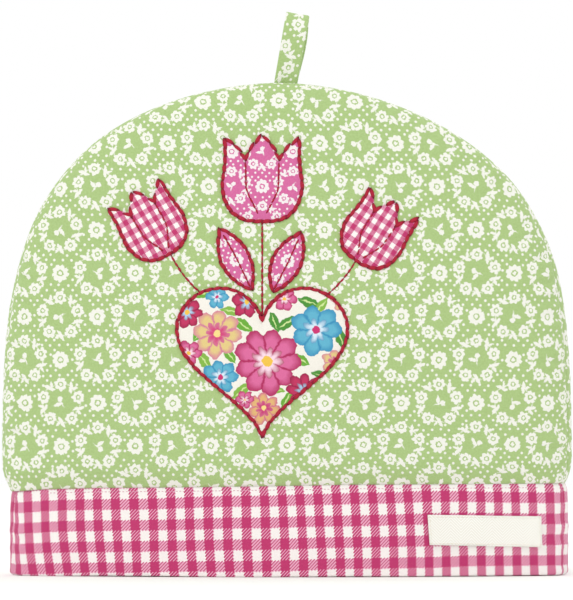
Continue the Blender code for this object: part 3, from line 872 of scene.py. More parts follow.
def places_in_ring():
    """A spot as seen from the nearest flower of its ring, and from the nearest twig between two flowers."""
    tree, (local,) = new_group(
        "places in a ring",
        {"From centre": ("NodeSocketVector", None)},
        {"From flower": "NodeSocketVector", "From twig": "NodeSocketVector", "Fifth": "NodeSocketFloat"},
    )
    x, y, _ = add(tree, "ShaderNodeSeparateXYZ", local).node.outputs
    way = add(tree, MATH, x, y, operation="ARCTAN2")  # clockwise from the top
    seen = []
    for between in (0.5, 0.0):
        fifth = add(tree, MATH, way, 1 / FIFTH, -between, operation="MULTIPLY_ADD")
        fifth = add(tree, MATH, add(tree, MATH, fifth, operation="ROUND"), between, operation="ADD")
        turn = add(tree, MATH, fifth, FIFTH, operation="MULTIPLY")
        arm = add(tree, "ShaderNodeVectorRotate", local, at={"Angle": turn}, rotation_type="Z_AXIS")
        seen.append(add(tree, VECTOR, arm, (0, RING_RADIUS, 0), operation="SUBTRACT"))
    return give(tree, seen[1], seen[0], fifth)


nearest_group, ring_places_group = nearest_place(), places_in_ring()
TWIG = [  # centre, angle, half size and pointedness of the twig between two flowers and of its leaves
    ((0.0, 0.0, 0), 0.15, (3.1, 0.42, 1), 0.0),
    ((-0.9, 1.2, 0), 0.9, (2.5, 1.0, 1), 1.0),
    ((0.3, -1.3, 0), 0.8, (2.4, 0.95, 1), 1.0),
    ((1.7, 1.0, 0), -0.9, (2.1, 0.85, 1), 1.0),
]
BUD = [  # the same for the bud in the middle of a ring
    ((1.8, 1.5, 0), 0.0, (1.6, 1.5, 1), 0.0),
    ((0.2, -0.4, 0), 2.2, (2.7, 0.4, 1), 0.0),
    ((-1.5, 1.2, 0), 0.85, (2.9, 1.1, 1), 1.0),
]


def flowered_print():
    tree, (place,) = new_group(
        "small flowered print", {"Place": ("NodeSocketVector", None)}, {"Mask": "NodeSocketFloat"}
    )
    wobble = add(tree, "ShaderNodeTexNoise", place, at={"Scale": 0.8, "Detail": 2.0}, out=1)
    wobble = add(tree, VECTOR, wobble, NOISE_MEAN, operation="SUBTRACT")
    wobble = add(tree, VECTOR, wobble, (1.9, 1.9, 0.0), operation="MULTIPLY")
    cut = add(tree, VECTOR, place, wobble, operation="ADD")

    local, centre = add(tree, "ShaderNodeGroup", cut, node_tree=nearest_group).node.outputs
    chance = add(tree, "ShaderNodeTexWhiteNoise", centre)
    flower, twig, fifth = add(tree, "ShaderNodeGroup", local, node_tree=ring_places_group).node.outputs
    start = add(tree, MATH, chance, 6.0, operation="MULTIPLY")
    start = add(tree, MATH, fifth, 2.3, start, operation="MULTIPLY_ADD")
    parts = [add(tree, "ShaderNodeGroup", flower, at={"Turn": start}, node_tree=blossom_group)]
    spin = add(tree, MATH, chance, 2 * pi, operation="MULTIPLY")
    bud = add(tree, "ShaderNodeVectorRotate", local, at={"Angle": spin}, rotation_type="Z_AXIS")
    for seen, pieces in ((twig, TWIG), (bud, BUD)):
        parts += [add(tree, "ShaderNodeGroup", seen, *piece, node_tree=leaf_group) for piece in pieces]

    beside = add(tree, VECTOR, cut, (REPEAT[0] / 2, 0, 0), operation="ADD")
    daisy, daisy_centre = add(tree, "ShaderNodeGroup", beside, node_tree=nearest_group).node.outputs
    turn = add(tree, MATH, add(tree, "ShaderNodeTexWhiteNoise", daisy_centre), 6.0, operation="MULTIPLY")
    parts.append(add(tree, "ShaderNodeGroup", daisy, *DAISY, turn, *DAISY_EYE, node_tree=blossom_group))

    _, spot = add(tree, "ShaderNodeGroup", place, DOT_REPEAT, node_tree=nearest_group).node.outputs
    jitter = add(tree, "ShaderNodeTexWhiteNoise", spot, out=1)
    jitter = add(tree, VECTOR, jitter, NOISE_MEAN, operation="SUBTRACT")
    jitter = add(tree, VECTOR, jitter, (0.9, 0.9, 0.0), operation="MULTIPLY")
    spot = add(tree, VECTOR, spot, jitter, operation="ADD")
    dot = add(tree, VECTOR, place, spot, operation="DISTANCE", out=1)
    dot = add(tree, MATH, DOT_RADIUS, dot, operation="SUBTRACT")
    dot = add(tree, MATH, dot, SOFT_EDGE, 0.5, operation="MULTIPLY_ADD", use_clamp=True)
    around = add(tree, "ShaderNodeGroup", spot, node_tree=nearest_group)
    flower, twig, _ = add(tree, "ShaderNodeGroup", around, node_tree=ring_places_group).node.outputs
    spot = add(tree, VECTOR, spot, (REPEAT[0] / 2, 0, 0), operation="ADD")
    daisy = add(tree, "ShaderNodeGroup", spot, node_tree=nearest_group)
    flowers = (flower, CLEAR_OF_FLOWER), (twig, CLEAR_OF_TWIG), (daisy, CLEAR_OF_DAISY)
    for seen, clear in (*flowers, (around, RING_RADIUS)):  # no dot on a motif, nor inside a ring
        gap = add(tree, VECTOR, seen, operation="LENGTH", out=1)
        gap = add(tree, MATH, gap, clear, operation="GREATER_THAN")
        dot = add(tree, MATH, dot, gap, operation="MULTIPLY")
    parts.append(dot)

    whole = parts[0]
    for part in parts[1:]:
        whole = add(tree, MATH, whole, part, operation="MAXIMUM")
    return give(tree, whole)


print_group = flowered_print()


def print_cotton(name, ground, ground_deep, motif, scale):
    """Printed cotton sheeting: the ink lies in the threads, so the ground varies a little and stays matt."""
    material, tree, place = start_material(name)
    sized = add(tree, VECTOR, place, at={3: 1 / scale}, operation="SCALE")
    mask = add(tree, "ShaderNodeGroup", sized, node_tree=print_group)
    blotch = add(tree, "ShaderNodeTexNoise", place, at={"Scale": 0.9, "Detail": 3.0})
    under = add(tree, MIX, at={0: blotch, 6: linear(ground), 7: linear(ground_deep)}, **COLOURS)
    colour = add(tree, MIX, at={0: mask, 6: under, 7: linear(motif)}, **COLOURS)
    finish_cloth(tree, place, colour)
    return material


green_cotton = print_cotton("printed_cotton_green", "#B6D090", "#9CB670", "#EEEEE4", 1.0)
pink_cotton = print_cotton("printed_cotton_pink", "#DD78AC", "#C8588F", "#EFE8E8", 0.8)
print(f"flowered print: {len(print_group.nodes)} nodes, repeat {REPEAT[0]:.0f} x {REPEAT[1]:.0f} mm")

# %% [markdown]
# ## Gingham
#
# Gingham is woven, not printed. Both the lengthwise and the crosswise threads come in broad stripes of
# pink and white, and where unlike stripes cross, the cloth shows some of each. Mixing a third colour
# for those squares would do from afar. Here the twill itself chooses at each spot which thread lies
# on top, so that the mixed squares and the toothed edges of the checks come out of the weave. A white
# thread looks pale pink where it crosses pink ones, because they shine through.

# %% Gingham as nodes
CHECK_ACROSS, CHECK_UP = 10.5, 12.0  # mm from one pink stripe to the next
FIRST_STRIPE, FIRST_ROW = -3.2, 5.1
TWILL_PITCH, TOOTH = 1.3, 0.32  # mm; real twill lines are about 0.7, drawn coarser so that they show
WARP_ON_TOP = 0.64  # the share of each twill line in which the lengthwise thread lies on top
UNEVEN_WARP, UNEVEN_WEFT = 4.0, 2.4  # mm; no loom keeps its stripes quite even


def gingham(name, scale):
    """Yarn-dyed cotton twill gingham: matt, crisp checks with toothed edges."""
    material, tree, place = start_material(name)
    sized = add(tree, VECTOR, place, at={3: 1 / scale}, operation="SCALE")
    uneven = add(tree, "ShaderNodeTexNoise", sized, at={"Scale": 0.016, "Detail": 1.0}, out=1)
    uneven = add(tree, VECTOR, uneven, NOISE_MEAN, operation="SUBTRACT")
    uneven = add(tree, VECTOR, uneven, (UNEVEN_WARP, UNEVEN_WEFT, 0.0), operation="MULTIPLY")
    sized = add(tree, VECTOR, sized, uneven, operation="ADD")
    across, up, _ = add(tree, "ShaderNodeSeparateXYZ", sized).node.outputs
    slope = add(tree, MATH, across, up, operation="SUBTRACT")
    slope = add(tree, MATH, slope, 0.7 / TWILL_PITCH, operation="MULTIPLY")  # counted in twill lines
    tooth = add(tree, MATH, add(tree, MATH, slope, 2 * pi, operation="MULTIPLY"), operation="SINE")
    across, up = (add(tree, MATH, tooth, TOOTH, way, operation="MULTIPLY_ADD") for way in (across, up))
    stripes = []
    for along, pitch, first in ((across, CHECK_ACROSS, FIRST_STRIPE), (up, CHECK_UP, FIRST_ROW)):
        turned = add(tree, MATH, along, 2 * pi / pitch, -2 * pi * first / pitch, operation="MULTIPLY_ADD")
        wave = add(tree, MATH, turned, operation="COSINE")
        stripes.append(add(tree, MATH, wave, 8.0, 0.55, operation="MULTIPLY_ADD", use_clamp=True))
    line = add(tree, MATH, slope, operation="FRACT")
    top = add(tree, MATH, WARP_ON_TOP, line, operation="SUBTRACT")
    top = add(tree, MATH, top, 7.0, 0.5, operation="MULTIPLY_ADD", use_clamp=True)
    dyed = add(tree, MIX, at={0: top, 2: stripes[1], 3: stripes[0]}, data_type="FLOAT")
    either = add(tree, MATH, *stripes, operation="MAXIMUM")
    white = add(tree, MIX, at={0: either, 6: linear("#F7F1EE"), 7: linear("#EAACC5")}, **COLOURS)
    speck = add(tree, "ShaderNodeTexNoise", place, at={"Scale": 1.1, "Detail": 2.0})
    pink = add(tree, MIX, at={0: speck, 6: linear("#BA2D65"), 7: linear("#C63D75")}, **COLOURS)
    colour = add(tree, MIX, at={0: dyed, 6: white, 7: pink}, **COLOURS)
    finish_cloth(tree, place, colour, relief=0.07)
    return material


band_gingham = gingham("woven_gingham_band", 1.0)
posy_gingham = gingham("woven_gingham_posy", 0.52)

# %% [markdown]
# ## Lining
#
# The inside of a cosy is lined with plain bleached cotton. It is hardly seen, but the cosy stands open
# at the hem and may be tipped up. It gets the same weave without a print.

# %% Lining
lining, lining_tree, lining_place = start_material("bleached_cotton_lining")
slubs = add(lining_tree, "ShaderNodeTexNoise", lining_place, at={"Scale": 0.3, "Detail": 4.0})
lining_colour = add(lining_tree, MIX, at={0: slubs, 6: linear("#EAE6DA"), 7: linear("#DFD9C9")}, **COLOURS)
finish_cloth(lining_tree, lining_place, lining_colour)

# %% [markdown]
# ## Sewing the walls
#
# Now the rows of points become the four big pieces. Each stands for its plainer twin in the measured
# model and rides on the same body.

# %% The four pieces of the walls
WALL_PARTS = {  # how each is made, its outer cloth, and the slot that it takes
    "panel": (panel_sheets, green_cotton, "green_print"),
    "band": (band_sheets, band_gingham, "gingham"),
}
for wall, side in (("front", -1), ("back", 1)):
    for part, (sheets, cotton, slot) in WALL_PARTS.items():
        piece = closed_form(f"{wall}_{part}_cloth", sheets(side), side, [cotton, lining])
        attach(piece, "root")
        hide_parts(f"{wall}_{part}")

# %% [markdown]
# ## The hanging loop
#
# The loop is a strip of the print, folded to a flat tape, doubled over and caught in the crown's seam.
# A curve with a bevel would give a round cord. It is made as a row of flattened sections along the
# strip's own path instead, so that its edges stay as folded cloth edges and the print follows the strip.

# %% Hanging loop
LOOP_WIDTH, LOOP_CLOTH, LOOP_TALL = 13.5, 1.8, 40.2
LOOP_X, LOOP_LEAN, LOOP_FOOT = -0.6, radians(10), 284.4
LOOP_SPREAD, LOOP_LEGS_APART = 6.5, 0.5
LOOP_STEPS = 96
BACK_LEG_ASIDE = 1.6  # the leg behind shows a little at the right
LOOP_CUT = (10.4, -21.8)  # where the strip is cut from the cloth, through some of the print's flowers


def loop_section(count=14):  # cells across each face
    """Shares of width and thickness round a folded tape: flat faces, rounded folds, a slight hollow."""
    half = np.sin(np.linspace(-pi / 2, pi / 2, count + 1))
    full = 1 - 0.16 * (1 - half**2) ** 4
    edge = np.sqrt(np.clip(1 - np.abs(half) ** 24, 0, 1))
    top = np.stack([half / 2, full * edge / 2], axis=-1)
    return np.concatenate([top, top[::-1][1:-1] * (1, -1)])


def hanging_loop():
    """The loop's object and the run of its strip in millimetres, up one leg, over the top and down again."""
    t = np.linspace(0, 2 * pi, LOOP_STEPS + 1)
    legs = (LOOP_CLOTH + LOOP_LEGS_APART) / 2
    rise = LOOP_TALL * (1 - np.cos(t)) / 2
    deep = legs * np.cos(t / 2) + LOOP_SPREAD * np.sin(t) * np.sin(t / 2).clip(0) ** 1.5
    path = np.stack([deep, rise], axis=-1)
    run = np.concatenate([[0], np.cumsum(np.linalg.norm(np.diff(path, axis=0), axis=1))])
    slope = np.gradient(path, axis=0)
    out = np.stack([slope[:, 1], -slope[:, 0]], axis=-1) / np.linalg.norm(slope, axis=1)[:, None]
    section = loop_section()
    back = BACK_LEG_ASIDE * np.clip(deep / LOOP_SPREAD, 0, 1) * np.sin(pi * rise / LOOP_TALL)
    wave = 0.25 * np.sin(run / 5.3) + 0.2 * np.sin(run / 2.9 + 1)  # folded edges are never quite straight
    across = section[:, 0] * LOOP_WIDTH
    x = LOOP_X + across + (rise * tan(LOOP_LEAN) + back)[:, None]
    thick = section[:, 1] * LOOP_CLOTH + wave[:, None] * (section[:, 0] ** 2)
    z = LOOP_FOOT + rise[:, None] - across * sin(LOOP_LEAN) * (rise / LOOP_TALL)[:, None]
    y = deep[:, None] + out[:, :1] * thick
    z = z + out[:, 1:] * thick
    count = len(section)
    verts = np.stack([x, y, z], axis=-1).reshape(-1, 3) * MM
    faces, spots = [], []
    for row in range(LOOP_STEPS):
        for k in range(count):
            n = (k + 1) % count
            corners = ((row, k), (row, n), (row + 1, n), (row + 1, k))
            faces.append(tuple(r * count + c for r, c in corners))
            spots += [(across[c], run[r]) for r, c in corners]
    for row in (0, LOOP_STEPS):
        faces.append(tuple(row * count + k for k in range(count)))
        spots += [(across[k], run[row]) for k in range(count)]
    mesh = bpy.data.meshes.new("hanging_loop_cloth")
    mesh.from_pydata(verts.tolist(), [], faces)
    cloth_map = mesh.uv_layers.new(name="cloth")
    spots = (np.array(spots) + LOOP_CUT) * MM
    cloth_map.uv.foreach_set("vector", spots.astype(np.float32).ravel())
    form = bmesh.new()
    form.from_mesh(mesh)
    bmesh.ops.recalc_face_normals(form, faces=form.faces)
    form.to_mesh(mesh)
    form.free()
    mesh.shade_smooth()
    mesh.set_sharp_from_angle(angle=radians(60))
    mesh.materials.append(green_cotton)
    return link_to_scene("hanging_loop_cloth", mesh), run[-1]


loop, loop_length = hanging_loop()
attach(loop, "root")
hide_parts("hanging_loop")
print(f"loop strip {LOOP_WIDTH} x {loop_length:.0f} mm, {len(loop.data.polygons)} faces")

# %% [markdown]
# ## Laying flat pieces on the front
#
# The label and the posy's pieces are thin cloth that lies on the padded front. A shrinkwrap modifier
# could press them on, but it reads a finished mesh and lets thin pieces slip into it. The front's
# height is known from its rule, so each point of a piece is simply set at that height and the cloth's
# thickness is added outwards.

# %% Cutting a piece and laying it on the front
CLEAR = 0.12  # between a laid piece and the cloth under it


def cut_piece(outline, cell):
    """A flat bmesh in x and z out of a closed outline, cut into cells so that it can bend."""
    cut = bmesh.new()
    corners = [cut.verts.new((x, 0, z)) for x, z in outline]
    cut.faces.new(corners)
    for axis, normal in ((0, (1, 0, 0)), (1, (0, 0, 1))):
        low, high = outline[:, axis].min(), outline[:, axis].max()
        for level in np.arange(low + cell / 2, high, cell):
            spot = [level * part for part in normal]
            bmesh.ops.bisect_plane(
                cut, geom=[*cut.verts, *cut.edges, *cut.faces], dist=0.001, plane_co=spot, plane_no=normal
            )
    bmesh.ops.triangulate(cut, faces=[face for face in cut.faces if len(face.verts) > 4])
    return cut


def lay_on_front(name, cut, height, cloth_spot, material, thickness):
    """Gives a cut piece its height (x, z -> mm off the seam plane), its cloth map and its thickness."""
    flat_places = np.array([(v.co.x, v.co.z) for v in cut.verts])
    spots = cloth_spot(flat_places)
    deep = height(flat_places[:, 0], flat_places[:, 1])
    cut.verts.ensure_lookup_table()
    layer = cut.loops.layers.uv.new("cloth")
    for face in cut.faces:
        for loop_corner in face.loops:
            loop_corner[layer].uv = spots[loop_corner.vert.index] * MM
    for vert, y in zip(cut.verts, deep):
        vert.co = Vector((vert.co.x, -y, vert.co.z)) * MM
    bmesh.ops.recalc_face_normals(cut, faces=cut.faces)
    if sum(face.normal.y for face in cut.faces) > 0:
        bmesh.ops.reverse_faces(cut, faces=cut.faces)
    mesh = bpy.data.meshes.new(name)
    cut.to_mesh(mesh)
    cut.free()
    mesh.shade_smooth()
    mesh.materials.append(material)
    piece = link_to_scene(name, mesh)
    cloth = piece.modifiers.new("thickness", "SOLIDIFY")
    cloth.thickness, cloth.offset = thickness * MM, 1.0
    return piece


# %% [markdown]
# ## The posy's pieces
#
# Three tulips, two leaves and a heart are cut from the pink print, a smaller gingham and a cream
# cotton with larger flowers. They are a maker's ordinary shapes in a layout of this script's own.
# The flowers of the cream cotton are placed on the heart, one row of numbers each, and drawn by the
# flower and leaf groups that the small print uses.

# %% Cream cotton with larger flowers
INKS = {  # colours of petal, edge, heart and eye
    "pink": ("#D96A9C", "#AC285A", "#F6D7E4", "#EFC24C"),
    "yellow": ("#E1C885", "#D27F98", "#D0487C", "#F2D98A"),
    "orange": ("#DFB376", "#CE6B8A", "#C64176", "#F2D98A"),
    "blue": ("#60B1CC", "#3A8EB8", "#D2E7F3", "#C9316F"),
    "rose": ("#C0335F", "#962048", "#A9CCEA", "#EFC24C"),
}
BLOOMS = [  # x, z from the heart's tip, radius, petals, depth, turn, inks
    (3, 44, 18.0, 9, 1.9, 0.3, "pink"),
    (-26, 60, 13.0, 8, 1.6, 0.9, "yellow"),
    (31, 62, 13.5, 7, 1.8, 0.1, "blue"),
    (-9, 78, 8.2, 6, 1.3, 1.3, "rose"),
    (42, 43, 7.4, 7, 1.1, 0.5, "yellow"),
    (-24, 35, 9.4, 7, 1.4, 0.2, "blue"),
    (24, 27, 9.6, 8, 1.5, 0.7, "rose"),
    (1, 17, 8.6, 7, 1.3, 1.1, "orange"),
    (-43, 72, 8.0, 7, 1.2, 0.4, "rose"),
    (13, 80, 6.4, 6, 1.0, 0.8, "pink"),
    (-42, 49, 6.6, 6, 1.1, 0.6, "pink"),
    (46, 80, 6.4, 6, 1.0, 0.2, "yellow"),
    (-26, 81, 6.0, 6, 1.0, 0.2, "blue"),
    (-10, 22, 5.0, 6, 0.9, 0.2, "pink"),
]
BLOOM_LEAVES = [  # x, z, angle, half length, half width
    (-11, 65, 0.6, 7.0, 3.0), (-12, 27, -0.7, 7.0, 2.8), (14, 66, -0.6, 7.0, 3.0), (22, 45, 0.5, 6.5, 2.6),
    (-33, 44, 1.0, 6.5, 2.8), (45, 58, 1.3, 7.0, 2.8), (14, 22, -1.0, 6.0, 2.4), (-18, 73, 0.2, 6.5, 2.6),
    (27, 78, 0.3, 7.0, 2.8), (-37, 60, -1.1, 5.5, 2.4), (-6, 8, 0.9, 5.0, 2.0), (34, 36, 0.3, 6.5, 2.6),
    (-19, 48, 0.9, 6.5, 2.6), (34, 76, -0.9, 6.0, 2.4), (7, 67, 1.2, 6.5, 2.6), (-34, 83, -0.3, 6.0, 2.4),
    (8, 28, 0.2, 5.5, 2.2), (-15, 15, -0.9, 6.0, 2.4), (32, 20, 1.1, 6.0, 2.4), (-30, 26, -1.2, 5.5, 2.2),
]
LEAF_GREENS, LEAF_RIB = ("#6BAA3A", "#84B548", "#4C9038"), "#CFE59B"


BLOOM_HEART, BLOOM_EYE = 0.46, 0.17  # as shares of the flower's radius


def flowered_cotton(name):
    """Printed cream cotton: many screens of bright ink on a warm ground."""
    material, tree, place = start_material(name)
    wobble = add(tree, "ShaderNodeTexNoise", place, at={"Scale": 0.35, "Detail": 2.0}, out=1)
    wobble = add(tree, VECTOR, wobble, NOISE_MEAN, operation="SUBTRACT")
    wobble = add(tree, VECTOR, wobble, (2.6, 2.6, 0.0), operation="MULTIPLY")
    cut = add(tree, VECTOR, place, wobble, operation="ADD")
    colour = add(tree, "ShaderNodeRGB")
    colour.default_value = linear("#EFEBE1")
    for k, (x, z, angle, long, wide) in enumerate(BLOOM_LEAVES):
        green = LEAF_GREENS[k % len(LEAF_GREENS)]
        for half, ink in (((long, wide, 1), green), ((long * 0.7, 0.4, 1), LEAF_RIB)):
            mask = add(tree, "ShaderNodeGroup", cut, (x, z, 0), angle, half, 1.0, node_tree=leaf_group)
            colour = add(tree, MIX, at={0: mask, 6: colour, 7: linear(ink)}, **COLOURS)
    for x, z, radius, petals, depth, turn, inks in BLOOMS:
        petal, edge, heart, eye = map(linear, INKS[inks])
        local = add(tree, VECTOR, cut, (x, z, 0), operation="SUBTRACT")
        shape = (petals, depth, turn, 0.0, -1.0)  # its eye line is left out
        outer, inner = (
            add(tree, "ShaderNodeGroup", local, size, *shape, node_tree=blossom_group).node.outputs
            for size in (radius, radius * BLOOM_HEART)
        )
        rim = add(tree, RAMP, outer["Share"], 0.72, 1.0, 0.0, 1.0)
        side = add(tree, RAMP, outer["Petal"], 0.42, 0.1, 0.0, 1.0)
        rim = add(tree, MATH, rim, side, operation="MAXIMUM")
        ink = add(tree, MIX, at={0: rim, 6: petal, 7: edge}, **COLOURS)
        colour = add(tree, MIX, at={0: outer["Mask"], 6: colour, 7: ink}, **COLOURS)
        rim = add(tree, RAMP, inner["Share"], 0.5, 1.05, 0.0, 1.0)
        ink = add(tree, MIX, at={0: rim, 6: heart, 7: edge}, **COLOURS)
        colour = add(tree, MIX, at={0: inner["Mask"], 6: colour, 7: ink}, **COLOURS)
        round_eye = (radius * BLOOM_EYE, radius * BLOOM_EYE, 1)
        middle = add(tree, "ShaderNodeGroup", local, (0, 0, 0), 0.0, round_eye, node_tree=leaf_group)
        colour = add(tree, MIX, at={0: middle, 6: colour, 7: eye}, **COLOURS)
    finish_cloth(tree, place, colour)
    return material


cream_cotton = flowered_cotton("printed_cotton_cream")

# %% Cutting and laying the posy
PATCH_CELL, PATCH_CLOTH = 2.4, 0.7
FINISH = {"heart": (cream_cotton, "flowered_cotton"), "leaf": (pink_cotton, "pink_print")}
FINISH |= {"tulip_centre": (pink_cotton, "pink_print"), "tulip": (posy_gingham, "gingham")}


def on_front(x, z):
    return front_surface(x, z) + CLEAR


for name, place in POSY.items():
    material, slot = FINISH.get(name) or FINISH[name.split("_")[0]]
    turn = radians(place.turn)

    def own_cloth(points, place=place, turn=turn):
        x, z = points[:, 0] - place.x, points[:, 1] - place.z
        return np.stack([x * cos(turn) - z * sin(turn), x * sin(turn) + z * cos(turn)], axis=-1)

    outline = outlines[name]
    cut = cut_piece(outline, PATCH_CELL)
    piece = lay_on_front(f"{name}_patch", cut, on_front, own_cloth, material, PATCH_CLOTH)
    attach(piece, "root")
    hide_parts(name)

# %% [markdown]
# ## The label tape
#
# The label is a short length of cotton tape, bare, laid on the band and sewn down all round. Such tape
# is woven in a herringbone: the twill lines turn back every few millimetres, which gives it its soft
# zigzag. The lines are drawn by one rule on the cloth map, the turn by folding that map. At its right
# end the tape reaches the band's padded edge, so the height under it follows that edge.

# %% Label tape
LABEL_CORNERS = np.array([(82.4, 18.3), (147.5, 16.7), (147.0, 34.5), (81.2, 35.8)])
LABEL_CLOTH, LABEL_CELL = 0.8, 1.6
LABEL_OFF = 0.3  # clear of the band, over its puckers
LABEL_ENDS, LABEL_FOLD, FOLD_RISE = 5.0, 0.45, 1.2  # each end is turned under: how far, how thick, how steep
LABEL_WAVE = 0.2
WAVES_AT_EDGE = 0.8  # the band's waves fade towards its edge
SIDE_POINTS = 40  # on each side of the tape's outline
HERRINGBONE, TAPE_TWILL = 6.0, 1.7  # mm between turns and between lines; real lines are about 0.6


def tape_material():
    """Cotton herringbone tape: thick soft yarn, warm white."""
    material, tree, place = start_material("cotton_herringbone_tape")
    along, across, _ = add(tree, "ShaderNodeSeparateXYZ", place).node.outputs
    fold = add(tree, MATH, along, HERRINGBONE, operation="PINGPONG")
    line = add(tree, MATH, fold, across, operation="ADD")
    line = add(tree, MATH, line, 2 * pi / TAPE_TWILL, operation="MULTIPLY")
    wave = add(tree, MATH, line, operation="SINE")
    shade = add(tree, MATH, wave, 0.5, 0.5, operation="MULTIPLY_ADD")
    colour = add(tree, MIX, at={0: shade, 6: linear("#EEEBDF"), 7: linear("#FFFFFA")}, **COLOURS)
    finish_cloth(tree, place, colour, pitch=0.7, relief=0.06)
    return material


def edge_height(x, z):
    """Height of the band near the side, where it rolls over its padded edge."""
    reach, high, below = edge_section()
    reach, high = reach[~below], high[~below]
    x, z = np.asarray(x, float), np.asarray(z, float)
    x, z = x - lean(z), 2 * z - settled(x, z)
    over = np.interp(half_width(z) - x, reach, high)
    steps = np.stack([EDGE_REACH - reach, -high], axis=-1)
    steps /= np.linalg.norm(steps, axis=-1, keepdims=True)
    down = np.interp(half_width(z) - x, reach, -steps[:, 1])
    waves_in = FRONT_WAVES * broad_waves(x, z) + seam_puckers(x, z)
    return GAP / 2 + over + opening(x, z) - dip(z) * down + waves_in * WAVES_AT_EDGE


def label_height(x, z):
    """The band under the tape, with the ends a little thicker where they are turned under."""
    from_end = np.minimum(x - LABEL_CORNERS[:, 0].min(), LABEL_CORNERS[:, 0].max() - x)
    turned = LABEL_FOLD * np.clip((LABEL_ENDS - from_end) / FOLD_RISE, 0, 1)
    wavy = turned + LABEL_WAVE * np.sin(x / 6.1) * np.sin(z / 5.3)
    return np.maximum(edge_height(x, z), 0) + CLEAR + LABEL_OFF + wavy


def four_sides(corners):
    """The sides of a four-cornered piece, each as a line of points."""
    t = np.linspace(0, 1, SIDE_POINTS)[:, None]
    return [start + (end - start) * t for start, end in zip(corners, np.roll(corners, -1, 0))]


label_piece = lay_on_front(
    "label_tape",
    cut_piece(np.concatenate([side[:-1] for side in four_sides(LABEL_CORNERS)]), LABEL_CELL),
    label_height,
    lambda points: points - LABEL_CORNERS[0],
    tape_material(),
    LABEL_CLOTH,
)
label_edges = np.linalg.norm(np.roll(LABEL_CORNERS, -1, 0) - LABEL_CORNERS, axis=1)
label_size = np.array([label_edges[::2].mean(), label_edges[1::2].mean()])
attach(label_piece, "root")
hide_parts("label")
print(f"label {np.round(label_size, 1)} mm")

# %% [markdown]
# ## Stitching
#
# Every line of thread is one small stitch set over and over along a path. Placing them one by one in a
# loop would work. Geometry Nodes say it more plainly and keep the sizes open as named inputs: the path
# is cut into even steps, a stitch is set on each point, turned along the path and away from the cloth,
# and a little chance keeps it from looking machined. Longer than its step and set a little aslant,
# each stitch overlaps the next, and the line looks like a fine rope, as stem stitch does. One tree
# serves the thick red outlines, the thin stems and the plain sewing.

# %% The stitching tree
STITCH_SIDES, STITCH_RINGS = 8, 7
END_TAPER = 1.0  # 0 leaves a stitch an ellipsoid, more makes its ends slimmer


def stitching_tree():
    """The tree, with its lengths in metres and its slant in radians."""
    number, vector = "NodeSocketFloat", "NodeSocketVector"
    tree, (path, pitch, size, slant, uneven, seed, thread) = new_group(
        "stitches along a path",
        {
            "Path": ("NodeSocketGeometry", None),
            "Pitch": (number, 0.0045),
            "Stitch size": (vector, (0.0056, 0.0023, 0.0012)),
            "Slant": (number, 0.1),
            "Unevenness": (number, 0.1),
            "Seed": ("NodeSocketInt", 1),
            "Thread": ("NodeSocketMaterial", None),
        },
        {"Stitches": "NodeSocketGeometry"},
        kind="GeometryNodeTree",
    )
    curve = add(tree, "GeometryNodeMeshToCurve", path)
    points = add(tree, "GeometryNodeResampleCurve", curve, at={"Length": pitch}, mode="LENGTH")
    away = add(tree, "GeometryNodeInputNamedAttribute", "away", data_type="FLOAT_VECTOR")
    tangent = add(tree, "GeometryNodeInputTangent")
    turn = add(tree, "FunctionNodeAlignRotationToVector", at={"Vector": tangent}, axis="X")
    turn = add(tree, "FunctionNodeAlignRotationToVector", turn, at={"Vector": away}, axis="Z", pivot_axis="X")
    chance = add(tree, "FunctionNodeRandomValue", at={"Seed": seed}, data_type="FLOAT_VECTOR")
    chance.node.inputs[0].default_value = (-1, -1, -1)
    chance.node.inputs[1].default_value = (1, 1, 1)
    amount = add(tree, VECTOR, chance, at={3: uneven}, operation="SCALE")
    yaw = add(tree, "ShaderNodeSeparateXYZ", amount)
    yaw = add(tree, MATH, add(tree, MATH, yaw, 0.7, operation="MULTIPLY"), slant, operation="ADD")
    twist = add(tree, "FunctionNodeEulerToRotation", add(tree, "ShaderNodeCombineXYZ", 0.0, 0.0, yaw))
    turn = add(tree, "FunctionNodeRotateRotation", turn, twist, rotation_space="LOCAL")

    ball = add(tree, "GeometryNodeMeshUVSphere", STITCH_SIDES, STITCH_RINGS, 0.5)
    ball = add(tree, "GeometryNodeTransform", ball, at={"Rotation": (0, pi / 2, 0)})
    spot = add(tree, "GeometryNodeInputPosition")
    along, side, up = add(tree, "ShaderNodeSeparateXYZ", spot).node.outputs
    slim = add(tree, MATH, along, along, operation="MULTIPLY")
    slim = add(tree, MATH, slim, -END_TAPER, 1.0, operation="MULTIPLY_ADD")
    thin = [add(tree, MATH, way, slim, operation="MULTIPLY") for way in (side, up)]
    slim = add(tree, "ShaderNodeCombineXYZ", along, *thin)
    pointed = add(tree, "GeometryNodeSetPosition", ball, at={"Position": slim})
    keep = {"Name": "along", "Value": along}  # the thread's material asks how near an end is
    named = add(tree, "GeometryNodeStoreNamedAttribute", pointed, at=keep, data_type="FLOAT")
    rounded_off = add(tree, "GeometryNodeSetShadeSmooth", named)
    scale = add(tree, VECTOR, amount, (1, 1, 1), operation="ADD")
    scale = add(tree, VECTOR, size, scale, operation="MULTIPLY")
    stitch = {"Instance": rounded_off, "Rotation": turn, "Scale": scale}
    set_down = add(tree, "GeometryNodeInstanceOnPoints", points, at=stitch)
    real = add(tree, "GeometryNodeRealizeInstances", set_down)
    return give(tree, add(tree, "GeometryNodeSetMaterial", real, at={"Material": thread}))


stitches = stitching_tree()
STRANDS = 1800.0  # to a metre, 0.55 mm each; real ones are about 0.3, drawn coarser so that they show


